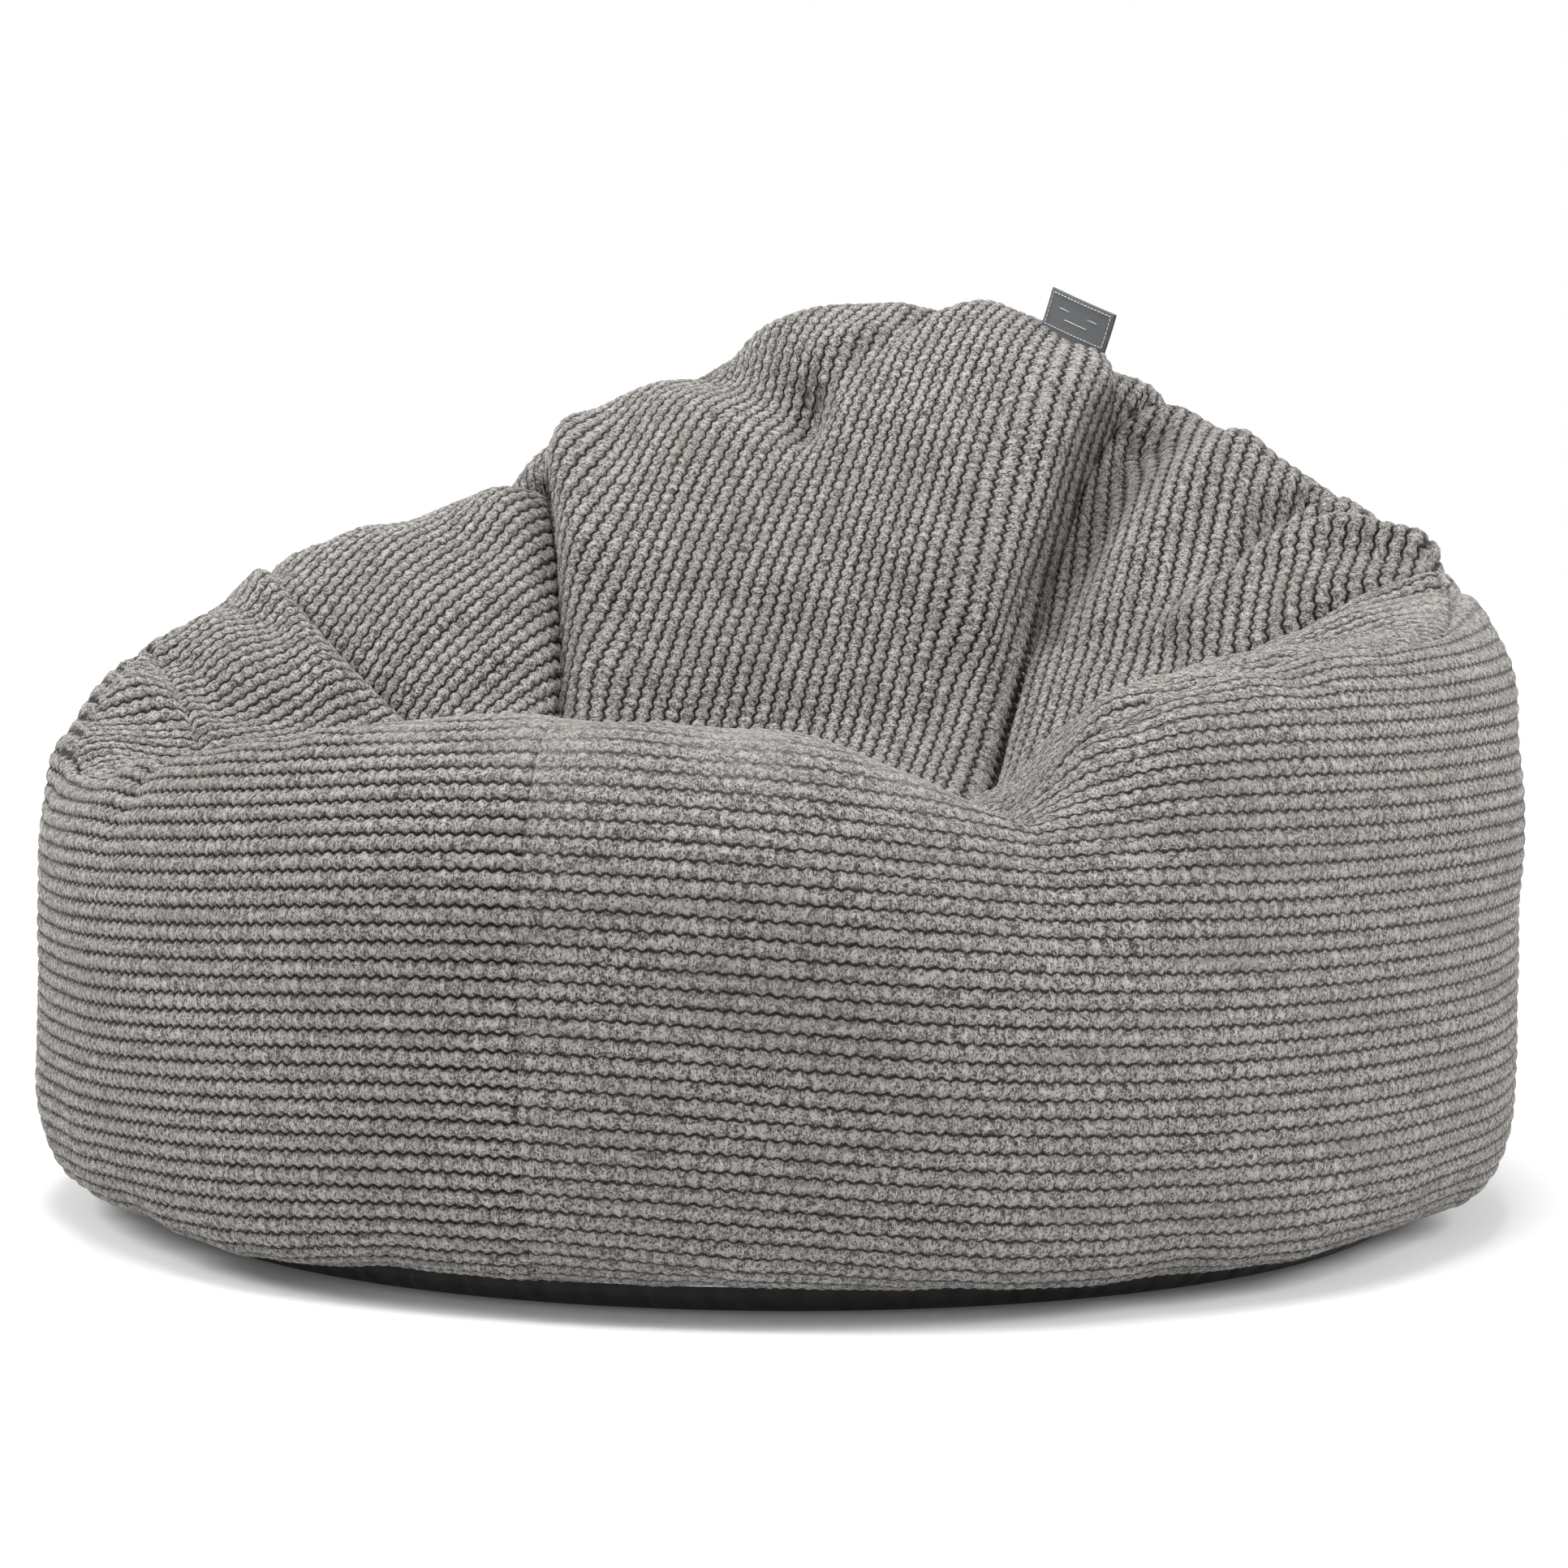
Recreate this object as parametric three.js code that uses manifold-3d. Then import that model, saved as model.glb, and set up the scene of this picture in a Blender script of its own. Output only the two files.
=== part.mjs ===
// Round bean bag chair: a drum-shaped cord cover with a hollow seat and a raised back, a nylon base
// with a zip, a liner with a zip of its own, and the bead filling. Millimetres, +Z up, front towards -Y.
import * as THREE from "three";
import { mergeVertices } from "three/addons/utils/BufferGeometryUtils.js";
import Module from "manifold-3d";

const wasm = await Module();
wasm.setup();

// Overall shape. Azimuths are in degrees about the seat centre, 0 at the front and 90 towards +X.
const SEAT_CENTRE_Y = -60;
const SEAT_HEIGHT = 250;
const SEAT_FLAT_SHARE = 0.14;
const DRUM_RADIUS = 498;
const DRUM_DEPTH_RATIO = 0.95;
const WIDEST_HEIGHT = 150;
const HEM_RADIUS = 449;
const HEM_HEIGHT = 17;
const HEM_ROUNDING = [5, 30];
const BASE_RADIUS = 420;

// The rim that the wall and the top panels share: azimuth, height and distance from the seat centre.
const RIM = [
  { azimuth: 0, height: 347, radius: 350 },
  { azimuth: 23, height: 335, radius: 354 },
  { azimuth: 43, height: 298, radius: 374 },
  { azimuth: 60, height: 358, radius: 390 },
  { azimuth: 78, height: 384, radius: 418 },
  { azimuth: 98, height: 389, radius: 464 },
  { azimuth: 118, height: 423, radius: 481 },
  { azimuth: 132, height: 471, radius: 475 },
  { azimuth: 147, height: 534, radius: 448 },
  { azimuth: 164, height: 610, radius: 409 },
  { azimuth: 181, height: 632, radius: 396 },
  { azimuth: 198, height: 610, radius: 386 },
  { azimuth: 214, height: 556, radius: 392 },
  { azimuth: 231, height: 482, radius: 418 },
  { azimuth: 246, height: 437, radius: 446 },
  { azimuth: 258, height: 391, radius: 467 },
  { azimuth: 270, height: 335, radius: 474 },
  { azimuth: 282, height: 296, radius: 462 },
  { azimuth: 297, height: 292, radius: 430 },
  { azimuth: 314, height: 314, radius: 388 },
  { azimuth: 337, height: 337, radius: 355 },
];

// Azimuths at which the seams of the top panels meet the rim, and where the seat strip is narrowest.
const FRONT_RIGHT = 43;
const SIDE_RIGHT = 118;
const BACK_RIGHT = 154;
const BACK_LEFT = 224;
const SIDE_LEFT = 250;
const FRONT_LEFT = 312;
const WAIST_RIGHT = [130, 0];
const WAIST_LEFT = [-165, -30];

// The left arm has a narrow panel of its own between the rim and this seam, bowed towards the seat.
const ARM_MIDDLE = [-345, -165];

// Grid of the fabric panels.
const STRIP_COLUMNS = 12;
const GORE_COLUMNS = 9;
const STRIP_ROWS = 2 * GORE_COLUMNS;
const GORE_ROWS = 5;
const ARM_COLUMNS = 7;
const ARM_ROWS = 3;
const WALL_ROWS = 9;

// Layers, measured inwards from the face of the cover.
const COVER_THICKNESS = 4;
const LINER_DEPTH = 7.5;
const LINER_THICKNESS = 1.2;
const FILL_DEPTH = 12;
const FILL_FLOOR = 19;
const SEAM_HALF_GAP = 0.8;
const GORE_SEAM_GAP = 1.8;
const LARGEST_NUDGE = 0.45;
const SEAM_TUCK = 8;
const TUCK_WIDTH = 30;
const TUCK_REACH_DOWN_WALL = 60;

// Base, zips and labels.
const BASE_THICKNESS = 3;
const BASE_EDGE_DROP = 2;
const BASE_EDGE_INSET = 2;
const BASE_EDGE_WIDTH = 3;
const BASE_SEGMENTS = 64;
const ZIP_LENGTH = 640;
const ZIP_CHANNEL = 22;
const ZIP_SLOT_OVERRUN = 20;
const COVER_ZIP_Y = 0;
const COVER_ZIP_HEIGHT = 4.4;
const LINER_ZIP_Y = 120;
const LINER_ZIP_HEIGHT = 13.2;
const LINER_BASE_HEIGHT = 10;
const LINER_BASE_RADIUS = 428;
const TAPE_WIDTH = 15;
const TAPE_THICKNESS = 0.6;
const TAPE_OVERRUN = 8;
const COIL_WIDTH = 1.4;
const COIL_HEIGHT = 1.8;
const COIL_GAP = 2;
const SLIDER_LENGTH = 12;
const SLIDER_WIDTH = 9;
const SLIDER_PLATE = 1;
const SLIDER_OPENING = 2.6;
const SLIDER_POST = 1.2;
const SLIDER_LIP = 0.5;
const SLIDER_LIP_DROP = 0.4;
const SLIDER_PARK_GAP = 2;
const STOP_LENGTH = 3;
const STOP_WIDTH = 4.8;
const LABEL_AZIMUTH = 161;
const LABEL_WIDTH = 58;
const LABEL_HEIGHT = 30;
const LABEL_LAYER = 0.6;
const LABEL_LIFT = 1.6;
const CARE_LABEL_SIZE = [55, 32, 0.6];
const CARE_LABEL_AZIMUTH = 196;
const CARE_LABEL_GAP = 2;
const CARE_LABEL_HEIGHT = 1.2;

const CLEAR = 0.4;
const UP = new THREE.Vector3(0, 0, 1);

function fabric(colour, roughness) {
  return new THREE.MeshStandardMaterial({ color: colour, roughness, metalness: 0 });
}

const cordFabric = fabric(0x847f7a, 0.95);
const baseNylon = fabric(0x141416, 0.6);
const linerCloth = fabric(0xe6e4df, 0.8);
const beads = fabric(0xf5f5f2, 0.7);
const zipTape = fabric(0x1a1a1c, 0.85);
const zipCoil = fabric(0x202022, 0.45);
const sliderMetal = new THREE.MeshStandardMaterial({ color: 0x2a2a2c, roughness: 0.35, metalness: 0.9 });
const labelWeave = fabric(0x565a5d, 0.8);
const careSatin = fabric(0xf0efec, 0.55);

const chair = new THREE.Group();

function addPart(name, geometry, material) {
  const part = new THREE.Mesh(geometry, material);
  part.name = name;
  chair.add(part);
  return part;
}

function radians(degrees) {
  return (degrees * Math.PI) / 180;
}

// Smooth closed curve through the rim's stations, for one of their values.
function rimValue(azimuth, key) {
  const turn = ((azimuth % 360) + 360) % 360;
  const count = RIM.length;
  const index = RIM.findLastIndex((station) => station.azimuth <= turn);
  const station = (offset) => {
    const place = index + offset;
    const laps = Math.floor(place / count);
    const found = RIM[((place % count) + count) % count];
    return { at: found.azimuth + 360 * laps, value: found[key] };
  };
  const [before, from, to, after] = [-1, 0, 1, 2].map(station);
  const span = to.at - from.at;
  const t = (turn - from.at) / span;
  const slopeFrom = ((to.value - before.value) / (to.at - before.at)) * span;
  const slopeTo = ((after.value - from.value) / (after.at - from.at)) * span;
  const rise = to.value - from.value;
  const cubic = slopeFrom + slopeTo - 2 * rise;
  const square = 3 * rise - 2 * slopeFrom - slopeTo;
  return from.value + t * (slopeFrom + t * (square + t * cubic));
}

// Point at a distance from the seat centre, in the half-plane of an azimuth.
function polarPoint(azimuth, distance, height) {
  const angle = radians(azimuth);
  return new THREE.Vector3(distance * Math.sin(angle), SEAT_CENTRE_Y - distance * Math.cos(angle), height);
}

function rimPoint(azimuth) {
  return polarPoint(azimuth, rimValue(azimuth, "radius"), rimValue(azimuth, "height"));
}

// Distance from the seat centre to the oval of a given half width round the drum's axis.
function ovalDistance(azimuth, halfWidth) {
  const angle = radians(azimuth);
  const across = Math.sin(angle);
  const along = Math.cos(angle) / DRUM_DEPTH_RATIO;
  const centre = SEAT_CENTRE_Y / DRUM_DEPTH_RATIO;
  const a = across * across + along * along;
  const b = -along * centre;
  const c = centre * centre - halfWidth * halfWidth;
  return (-b + Math.sqrt(b * b - a * c)) / a;
}

function bezier(p0, p1, p2, p3, t) {
  const s = 1 - t;
  return s * s * s * p0 + 3 * s * s * t * p1 + 3 * s * t * t * p2 + t * t * t * p3;
}

function quadratic(p0, p1, p2, t) {
  const s = 1 - t;
  return s * s * p0 + 2 * s * t * p1 + t * t * p2;
}

// Wall: share 0 is the hem at the base, 0.4 the widest point, 1 the rim.
const WIDEST_SHARE = 0.4;
const HEM_FULLNESS = 0.9;
const RIM_FULLNESS = 0.62;

function wallPoint(azimuth, share) {
  const hem = ovalDistance(azimuth, HEM_RADIUS);
  const widest = ovalDistance(azimuth, DRUM_RADIUS);
  const rim = rimValue(azimuth, "radius");
  const rimHeight = rimValue(azimuth, "height");
  if (share <= WIDEST_SHARE) {
    const t = share / WIDEST_SHARE;
    const [lowLift, highLift] = HEM_ROUNDING;
    const distance = bezier(hem, hem + HEM_FULLNESS * (widest - hem), widest, widest, t);
    const height = bezier(HEM_HEIGHT, HEM_HEIGHT + lowLift, HEM_HEIGHT + highLift, WIDEST_HEIGHT, t);
    return polarPoint(azimuth, distance, height);
  }
  const t = (share - WIDEST_SHARE) / (1 - WIDEST_SHARE);
  const rise = rimHeight - WIDEST_HEIGHT;
  const distance = bezier(widest, widest, rim + RIM_FULLNESS * (widest - rim), rim, t);
  const height = bezier(WIDEST_HEIGHT, WIDEST_HEIGHT + RIM_FULLNESS * rise, rimHeight, rimHeight, t);
  return polarPoint(azimuth, distance, height);
}

// Top: a height over each plan position inside the rim, level at the seat and again at the rim.
function topPoint(x, y) {
  const distance = Math.hypot(x, y - SEAT_CENTRE_Y);
  const azimuth = (Math.atan2(x, SEAT_CENTRE_Y - y) * 180) / Math.PI;
  const share = Math.min(distance / rimValue(azimuth, "radius"), 1);
  const climb = Math.max((share - SEAT_FLAT_SHARE) / (1 - SEAT_FLAT_SHARE), 0);
  const rise = climb * climb * (3 - 2 * climb);
  const height = SEAT_HEIGHT + (rimValue(azimuth, "height") - SEAT_HEIGHT) * rise;
  return new THREE.Vector3(x, y, height);
}

// Curve in plan between two points that passes the middle point half way.
function curveThrough(from, middle, to, t) {
  const controlX = 2 * middle[0] - (from.x + to.x) / 2;
  const controlY = 2 * middle[1] - (from.y + to.y) / 2;
  return [quadratic(from.x, controlX, to.x, t), quadratic(from.y, controlY, to.y, t)];
}

// Seams of the seat strip in plan, from the front rim (t 0) past the waist (t 0.5) to the back rim.
function stripSeam(frontAzimuth, waist, backAzimuth, t) {
  const front = rimPoint(frontAzimuth);
  const back = rimPoint(backAzimuth);
  return curveThrough(front, waist, back, t);
}

const leftSeam = (t) => stripSeam(FRONT_LEFT, WAIST_LEFT, BACK_LEFT, t);
const rightSeam = (t) => stripSeam(FRONT_RIGHT, WAIST_RIGHT, BACK_RIGHT, t);

// Seam of the arm panel in plan, from the rim beside the back (t 0) to the rim at the front.
function armSeam(t) {
  const columnStep = (FRONT_LEFT - SIDE_LEFT) / GORE_COLUMNS;
  const from = rimPoint(FRONT_LEFT - ARM_COLUMNS * columnStep);
  const to = rimPoint(FRONT_LEFT);
  return curveThrough(from, ARM_MIDDLE, to, t);
}

function between(from, to, t) {
  return [from[0] + (to[0] - from[0]) * t, from[1] + (to[1] - from[1]) * t];
}

function planOfRim(azimuth) {
  const point = rimPoint(azimuth);
  return [point.x, point.y];
}

const SEAM_STEPS = 12;
const seamRoutes = [
  leftSeam,
  rightSeam,
  armSeam,
  (t) => between(leftSeam(0.5), planOfRim(SIDE_LEFT), t),
  (t) => between(rightSeam(0.5), planOfRim(SIDE_RIGHT), t),
].map((route) => Array.from({ length: SEAM_STEPS + 1 }, (_, step) => route(step / SEAM_STEPS)));

function distanceToSegment(point, from, to) {
  const run = [to[0] - from[0], to[1] - from[1]];
  const reach = [point[0] - from[0], point[1] - from[1]];
  const length = run[0] * run[0] + run[1] * run[1];
  const t = Math.min(Math.max((reach[0] * run[0] + reach[1] * run[1]) / length, 0), 1);
  return Math.hypot(reach[0] - t * run[0], reach[1] - t * run[1]);
}

// How far the seams of the top pull the fabric in at a plan position.
function tuckAt(plan) {
  let nearest = Infinity;
  for (const route of seamRoutes) {
    for (let step = 0; step < SEAM_STEPS; step += 1) {
      nearest = Math.min(nearest, distanceToSegment(plan, route[step], route[step + 1]));
    }
  }
  return SEAM_TUCK * Math.exp(-nearest / TUCK_WIDTH);
}

const SAME_PLACE = 0.05;

// A surface collects points that share places, each with the direction that faces out of the chair.
class Surface {
  constructor() {
    this.points = [];
    this.normals = [];
    this.triangles = [];
  }

  add({ point, normal }) {
    const found = this.points.findIndex((other) => other.distanceToSquared(point) < SAME_PLACE ** 2);
    const index = found < 0 ? this.points.length : found;
    if (found < 0) {
      this.points.push(point);
      this.normals.push(new THREE.Vector3());
    }
    this.normals[index].add(normal);
    return index;
  }

  // A grid of samples; rows run outwards or upwards, columns anticlockwise seen from outside.
  addGrid(rows) {
    const indices = rows.map((row) => row.map((sample) => this.add(sample)));
    for (let row = 0; row + 1 < indices.length; row += 1) {
      for (let column = 0; column + 1 < indices[row].length; column += 1) {
        const a = indices[row][column];
        const b = indices[row][column + 1];
        const c = indices[row + 1][column + 1];
        const d = indices[row + 1][column];
        this.addTriangle(a, b, c);
        this.addTriangle(a, c, d);
      }
    }
    return indices;
  }

  addTriangle(a, b, c) {
    if (a !== b && b !== c && c !== a) {
      this.triangles.push([a, b, c]);
    }
  }

  layer(depth) {
    return this.points.map((point, index) => {
      const inward = this.normals[index].clone().normalize().multiplyScalar(-depth);
      return point.clone().add(inward);
    });
  }

  // Edges that only one triangle uses, in that triangle's direction.
  rimEdges() {
    const edges = new Map();
    for (const [a, b, c] of this.triangles) {
      for (const [from, to] of [[a, b], [b, c], [c, a]]) {
        if (edges.has(`${to},${from}`)) {
          edges.delete(`${to},${from}`);
        } else {
          edges.set(`${from},${to}`, [from, to]);
        }
      }
    }
    return [...edges.values()];
  }

  // Closed sheet between two depths.
  sheet(outerDepth, innerDepth) {
    const shift = this.points.length;
    const points = [...this.layer(outerDepth), ...this.layer(innerDepth)];
    const triangles = [...this.triangles];
    for (const [a, b, c] of this.triangles) {
      triangles.push([a + shift, c + shift, b + shift]);
    }
    for (const [from, to] of this.rimEdges()) {
      triangles.push([from, from + shift, to + shift]);
      triangles.push([from, to + shift, to]);
    }
    return closedGeometry(points, triangles);
  }
}

function closedGeometry(points, triangles) {
  const geometry = new THREE.BufferGeometry();
  const places = points.flatMap((point) => point.toArray());
  geometry.setAttribute("position", new THREE.Float32BufferAttribute(places, 3));
  geometry.setIndex(triangles.flat());
  geometry.computeVertexNormals();
  return geometry;
}

// Sample of a smooth surface: its normal comes from two short steps, then the seam tuck moves it.
const STEP = 0.5;
const AZIMUTH_STEP = 0.1;
const SHARE_STEP = 0.01;

function wallSample(azimuth, share) {
  const point = wallPoint(azimuth, share);
  const round = wallPoint(azimuth + AZIMUTH_STEP, share).sub(wallPoint(azimuth - AZIMUTH_STEP, share));
  const low = wallPoint(azimuth, Math.max(share - SHARE_STEP, 0));
  const up = wallPoint(azimuth, Math.min(share + SHARE_STEP, 1)).sub(low);
  const normal = share > 1 - SHARE_STEP ? levelNormal(round, azimuth) : round.cross(up).normalize();
  const below = rimValue(azimuth, "height") - point.z;
  const tuck = tuckAt(planOfRim(azimuth)) * Math.exp(-below / TUCK_REACH_DOWN_WALL);
  return { point: point.addScaledVector(normal, -tuck), normal };
}

// Normal on the rim, where the fabric is level in the half-plane of the azimuth.
function levelNormal(round, azimuth) {
  const inward = polarPoint(azimuth, 0, 0).sub(polarPoint(azimuth, 1, 0));
  return round.clone().cross(inward).normalize();
}

function topSample([x, y]) {
  const point = topPoint(x, y);
  const alongX = topPoint(x + STEP, y).sub(topPoint(x - STEP, y));
  const alongY = topPoint(x, y + STEP).sub(topPoint(x, y - STEP));
  const normal = alongX.cross(alongY).normalize();
  return { point: point.addScaledVector(normal, -tuckAt([x, y])), normal };
}

function steps(count) {
  return Array.from({ length: count + 1 }, (_, step) => step / count);
}

function mix(from, to, t) {
  return from + (to - from) * t;
}

// A sample moved by a length towards its neighbour, along the facet between them.
function nudge(sample, neighbour, length) {
  const run = neighbour.point.distanceTo(sample.point);
  const t = Math.min(length / Math.max(run, 0.001), LARGEST_NUDGE);
  const point = sample.point.clone().lerp(neighbour.point, t);
  const normal = sample.normal.clone().lerp(neighbour.normal, t).normalize();
  return { point, normal };
}

// The grid with its outermost columns and rows drawn in by the given lengths.
function trimGrid(grid, { start = 0, end = 0, low = 0, high = 0 }) {
  const narrowed = grid.map((row) => {
    const first = nudge(row[0], row[1], start);
    const last = nudge(row[row.length - 1], row[row.length - 2], end);
    return [first, ...row.slice(1, -1), last];
  });
  const lowest = narrowed[0].map((sample, column) => nudge(sample, narrowed[1][column], low));
  const [beforeLast, lastRow] = narrowed.slice(-2);
  const highest = lastRow.map((sample, column) => nudge(sample, beforeLast[column], high));
  return [lowest, ...narrowed.slice(1, -1), highest];
}

// Rim azimuths of the six arcs of the top, as columns shared by the wall and the panels.
const arcs = {
  front: [FRONT_LEFT - 360, FRONT_RIGHT, STRIP_COLUMNS],
  sideRight: [FRONT_RIGHT, SIDE_RIGHT, GORE_COLUMNS],
  backRight: [SIDE_RIGHT, BACK_RIGHT, GORE_COLUMNS],
  back: [BACK_RIGHT, BACK_LEFT, STRIP_COLUMNS],
  backLeft: [BACK_LEFT, SIDE_LEFT, GORE_COLUMNS],
  sideLeft: [SIDE_LEFT, FRONT_LEFT, GORE_COLUMNS],
};

function arcAzimuths([from, to, count]) {
  return steps(count).map((t) => mix(from, to, t));
}

function wallGrid(set) {
  const azimuths = set.flatMap((arc, index) => arcAzimuths(arc).slice(index === 0 ? 0 : 1));
  return steps(WALL_ROWS).map((share) => azimuths.map((azimuth) => wallSample(azimuth, share)));
}

function stripGrid() {
  const front = arcAzimuths(arcs.front);
  const back = arcAzimuths(arcs.back).reverse();
  const [frontLeft, frontRight] = [leftSeam(0), rightSeam(0)];
  const [backLeft, backRight] = [leftSeam(1), rightSeam(1)];
  return steps(STRIP_ROWS).map((v) =>
    steps(STRIP_COLUMNS).map((u, column) => {
      const across = between(leftSeam(v), rightSeam(v), u);
      const frontChord = between(frontLeft, frontRight, u);
      const backChord = between(backLeft, backRight, u);
      const [x, y] = [0, 1].map((axis) => {
        const frontBulge = planOfRim(front[column])[axis] - frontChord[axis];
        const backBulge = planOfRim(back[column])[axis] - backChord[axis];
        return across[axis] + (1 - v) * frontBulge + v * backBulge;
      });
      return topSample([x, y]);
    }),
  );
}

// A gore's grid, from the plan points of its outer edge to those of its inner edge.
function goreGrid({ outer, inner, rows }) {
  const pointAt = (row) => (edge, column) => topSample(between(edge, inner[column], row));
  return steps(rows).map((row) => outer.map(pointAt(row)));
}

function rimEdge(arc) {
  return arcAzimuths(arc).map(planOfRim);
}

function seamEdge(seam, from, to, count) {
  return steps(count).map((t) => seam(mix(from, to, t)));
}

// The gores, and the ends at which their two edges meet in a point.
const sideLeftRim = rimEdge(arcs.sideLeft);
const armEdge = seamEdge(armSeam, 0, 1, ARM_COLUMNS);
const besideArm = GORE_COLUMNS - ARM_COLUMNS;
const gores = {
  cover_side_right_gore: {
    outer: rimEdge(arcs.sideRight),
    inner: seamEdge(rightSeam, 0, 0.5, GORE_COLUMNS),
    rows: GORE_ROWS,
    points: ["start"],
  },
  cover_back_right_gore: {
    outer: rimEdge(arcs.backRight),
    inner: seamEdge(rightSeam, 0.5, 1, GORE_COLUMNS),
    rows: GORE_ROWS,
    points: ["end"],
  },
  cover_back_left_gore: {
    outer: rimEdge(arcs.backLeft),
    inner: seamEdge(leftSeam, 1, 0.5, GORE_COLUMNS),
    rows: GORE_ROWS,
    points: ["start"],
  },
  cover_side_left_gore: {
    outer: [...sideLeftRim.slice(0, besideArm), ...armEdge],
    inner: seamEdge(leftSeam, 0.5, 0, GORE_COLUMNS),
    rows: GORE_ROWS,
    points: ["end"],
  },
  cover_left_arm_panel: {
    outer: sideLeftRim.slice(besideArm),
    inner: armEdge,
    rows: ARM_ROWS,
    points: ["start", "end"],
  },
};

const wallSets = {
  wall_front_right: [[0, FRONT_RIGHT, STRIP_COLUMNS / 2], arcs.sideRight],
  wall_rear: [arcs.backRight, arcs.back, arcs.backLeft],
  wall_front_left: [arcs.sideLeft, [FRONT_LEFT, 360, STRIP_COLUMNS / 2]],
};

function surfaceOf(...grids) {
  const surface = new Surface();
  for (const grid of grids) {
    surface.addGrid(grid);
  }
  return surface;
}

// Each cover panel is a sheet of its own that stops short of its seams, and of its pointed end.
function addCover() {
  const sides = { start: SEAM_HALF_GAP, end: SEAM_HALF_GAP, low: SEAM_HALF_GAP, high: SEAM_HALF_GAP };
  const panels = { cover_seat_strip: trimGrid(stripGrid(), sides) };
  for (const [name, set] of Object.entries(wallSets)) {
    panels[`cover_${name}`] = trimGrid(wallGrid(set), sides);
  }
  for (const [name, gore] of Object.entries(gores)) {
    const start = gore.points.includes("start") ? Infinity : GORE_SEAM_GAP;
    const end = gore.points.includes("end") ? Infinity : GORE_SEAM_GAP;
    panels[name] = trimGrid(goreGrid(gore), { start, end, low: GORE_SEAM_GAP, high: GORE_SEAM_GAP });
  }
  for (const [name, grid] of Object.entries(panels)) {
    addPart(name, surfaceOf(grid).sheet(0, COVER_THICKNESS), cordFabric);
  }
}

function topGrids() {
  return [stripGrid(), ...Object.values(gores).map(goreGrid)];
}

function wallGrids() {
  return Object.values(wallSets).map(wallGrid);
}

function addLiner() {
  const wall = surfaceOf(...wallGrids().map((grid) => trimGrid(grid, { high: 2 * SEAM_HALF_GAP })));
  const top = surfaceOf(...topGrids());
  const innerFace = LINER_DEPTH + LINER_THICKNESS;
  addPart("liner_wall", wall.sheet(LINER_DEPTH, innerFace), linerCloth);
  addPart("liner_top", top.sheet(LINER_DEPTH, innerFace), linerCloth);
}

function addFill() {
  const surface = surfaceOf(...wallGrids(), ...topGrids());
  const floor = new THREE.Vector3(0, 0, FILL_FLOOR - FILL_DEPTH);
  const centre = surface.add({ point: floor, normal: UP.clone().negate() });
  for (const [from, to] of surface.rimEdges()) {
    surface.addTriangle(to, from, centre);
  }
  addPart("bead_fill", closedGeometry(surface.layer(FILL_DEPTH), surface.triangles), beads);
}

function asManifold(geometry) {
  const bare = geometry.clone();
  bare.deleteAttribute("normal");
  bare.deleteAttribute("uv");
  const merged = mergeVertices(bare, 1e-4);
  const vertProperties = new Float32Array(merged.attributes.position.array);
  const triVerts = new Uint32Array(merged.index.array);
  return new wasm.Manifold(new wasm.Mesh({ numProp: 3, vertProperties, triVerts }));
}

function asGeometry(manifold) {
  const mesh = manifold.getMesh();
  const geometry = new THREE.BufferGeometry();
  geometry.setAttribute("position", new THREE.BufferAttribute(mesh.vertProperties, 3));
  geometry.setIndex(new THREE.BufferAttribute(mesh.triVerts, 1));
  geometry.computeVertexNormals();
  return geometry;
}

function block(sizeX, sizeY, sizeZ, x, y, z) {
  return new THREE.BoxGeometry(sizeX, sizeY, sizeZ).translate(x, y, z);
}

// Size of a cutting block that reaches past the whole chair.
const BEYOND_CHAIR = 2000;

// A round panel in two halves that meet on a line along X, with a slot for the zip on that line.
function splitPanel(names, geometry, seamY, material) {
  const whole = asManifold(geometry);
  const slot = asManifold(block(ZIP_LENGTH + 2 * ZIP_SLOT_OVERRUN, ZIP_CHANNEL, BEYOND_CHAIR, 0, seamY, 0));
  [-1, 1].forEach((side, index) => {
    const centre = seamY - side * (BEYOND_CHAIR / 2 - SEAM_HALF_GAP);
    const rest = asManifold(block(BEYOND_CHAIR, BEYOND_CHAIR, BEYOND_CHAIR, 0, centre, 0));
    addPart(names[index], asGeometry(whole.subtract(rest).subtract(slot)), material);
  });
}

function addBase() {
  const edgeHeight = HEM_HEIGHT - BASE_EDGE_DROP;
  const edgeRadius = HEM_RADIUS - BASE_EDGE_INSET;
  const profile = [
    [0, 0],
    [BASE_RADIUS, 0],
    [edgeRadius, edgeHeight],
    [edgeRadius - BASE_EDGE_WIDTH, edgeHeight + 1],
    [BASE_RADIUS - BASE_EDGE_INSET, BASE_THICKNESS],
    [0, BASE_THICKNESS],
  ].map(([x, y]) => new THREE.Vector2(x, y));
  const dish = new THREE.LatheGeometry(profile, BASE_SEGMENTS).rotateX(Math.PI / 2);
  dish.scale(1, DRUM_DEPTH_RATIO, 1);
  splitPanel(["base_front", "base_rear"], dish, COVER_ZIP_Y, baseNylon);

  const linerProfile = [
    [0, LINER_BASE_HEIGHT],
    [LINER_BASE_RADIUS, LINER_BASE_HEIGHT],
    [LINER_BASE_RADIUS, LINER_BASE_HEIGHT + LINER_THICKNESS],
    [0, LINER_BASE_HEIGHT + LINER_THICKNESS],
  ].map(([x, y]) => new THREE.Vector2(x, y));
  const disc = new THREE.LatheGeometry(linerProfile, BASE_SEGMENTS).rotateX(Math.PI / 2);
  disc.scale(1, DRUM_DEPTH_RATIO, 1);
  splitPanel(["liner_base_front", "liner_base_rear"], disc, LINER_ZIP_Y, linerCloth);
}

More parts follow.
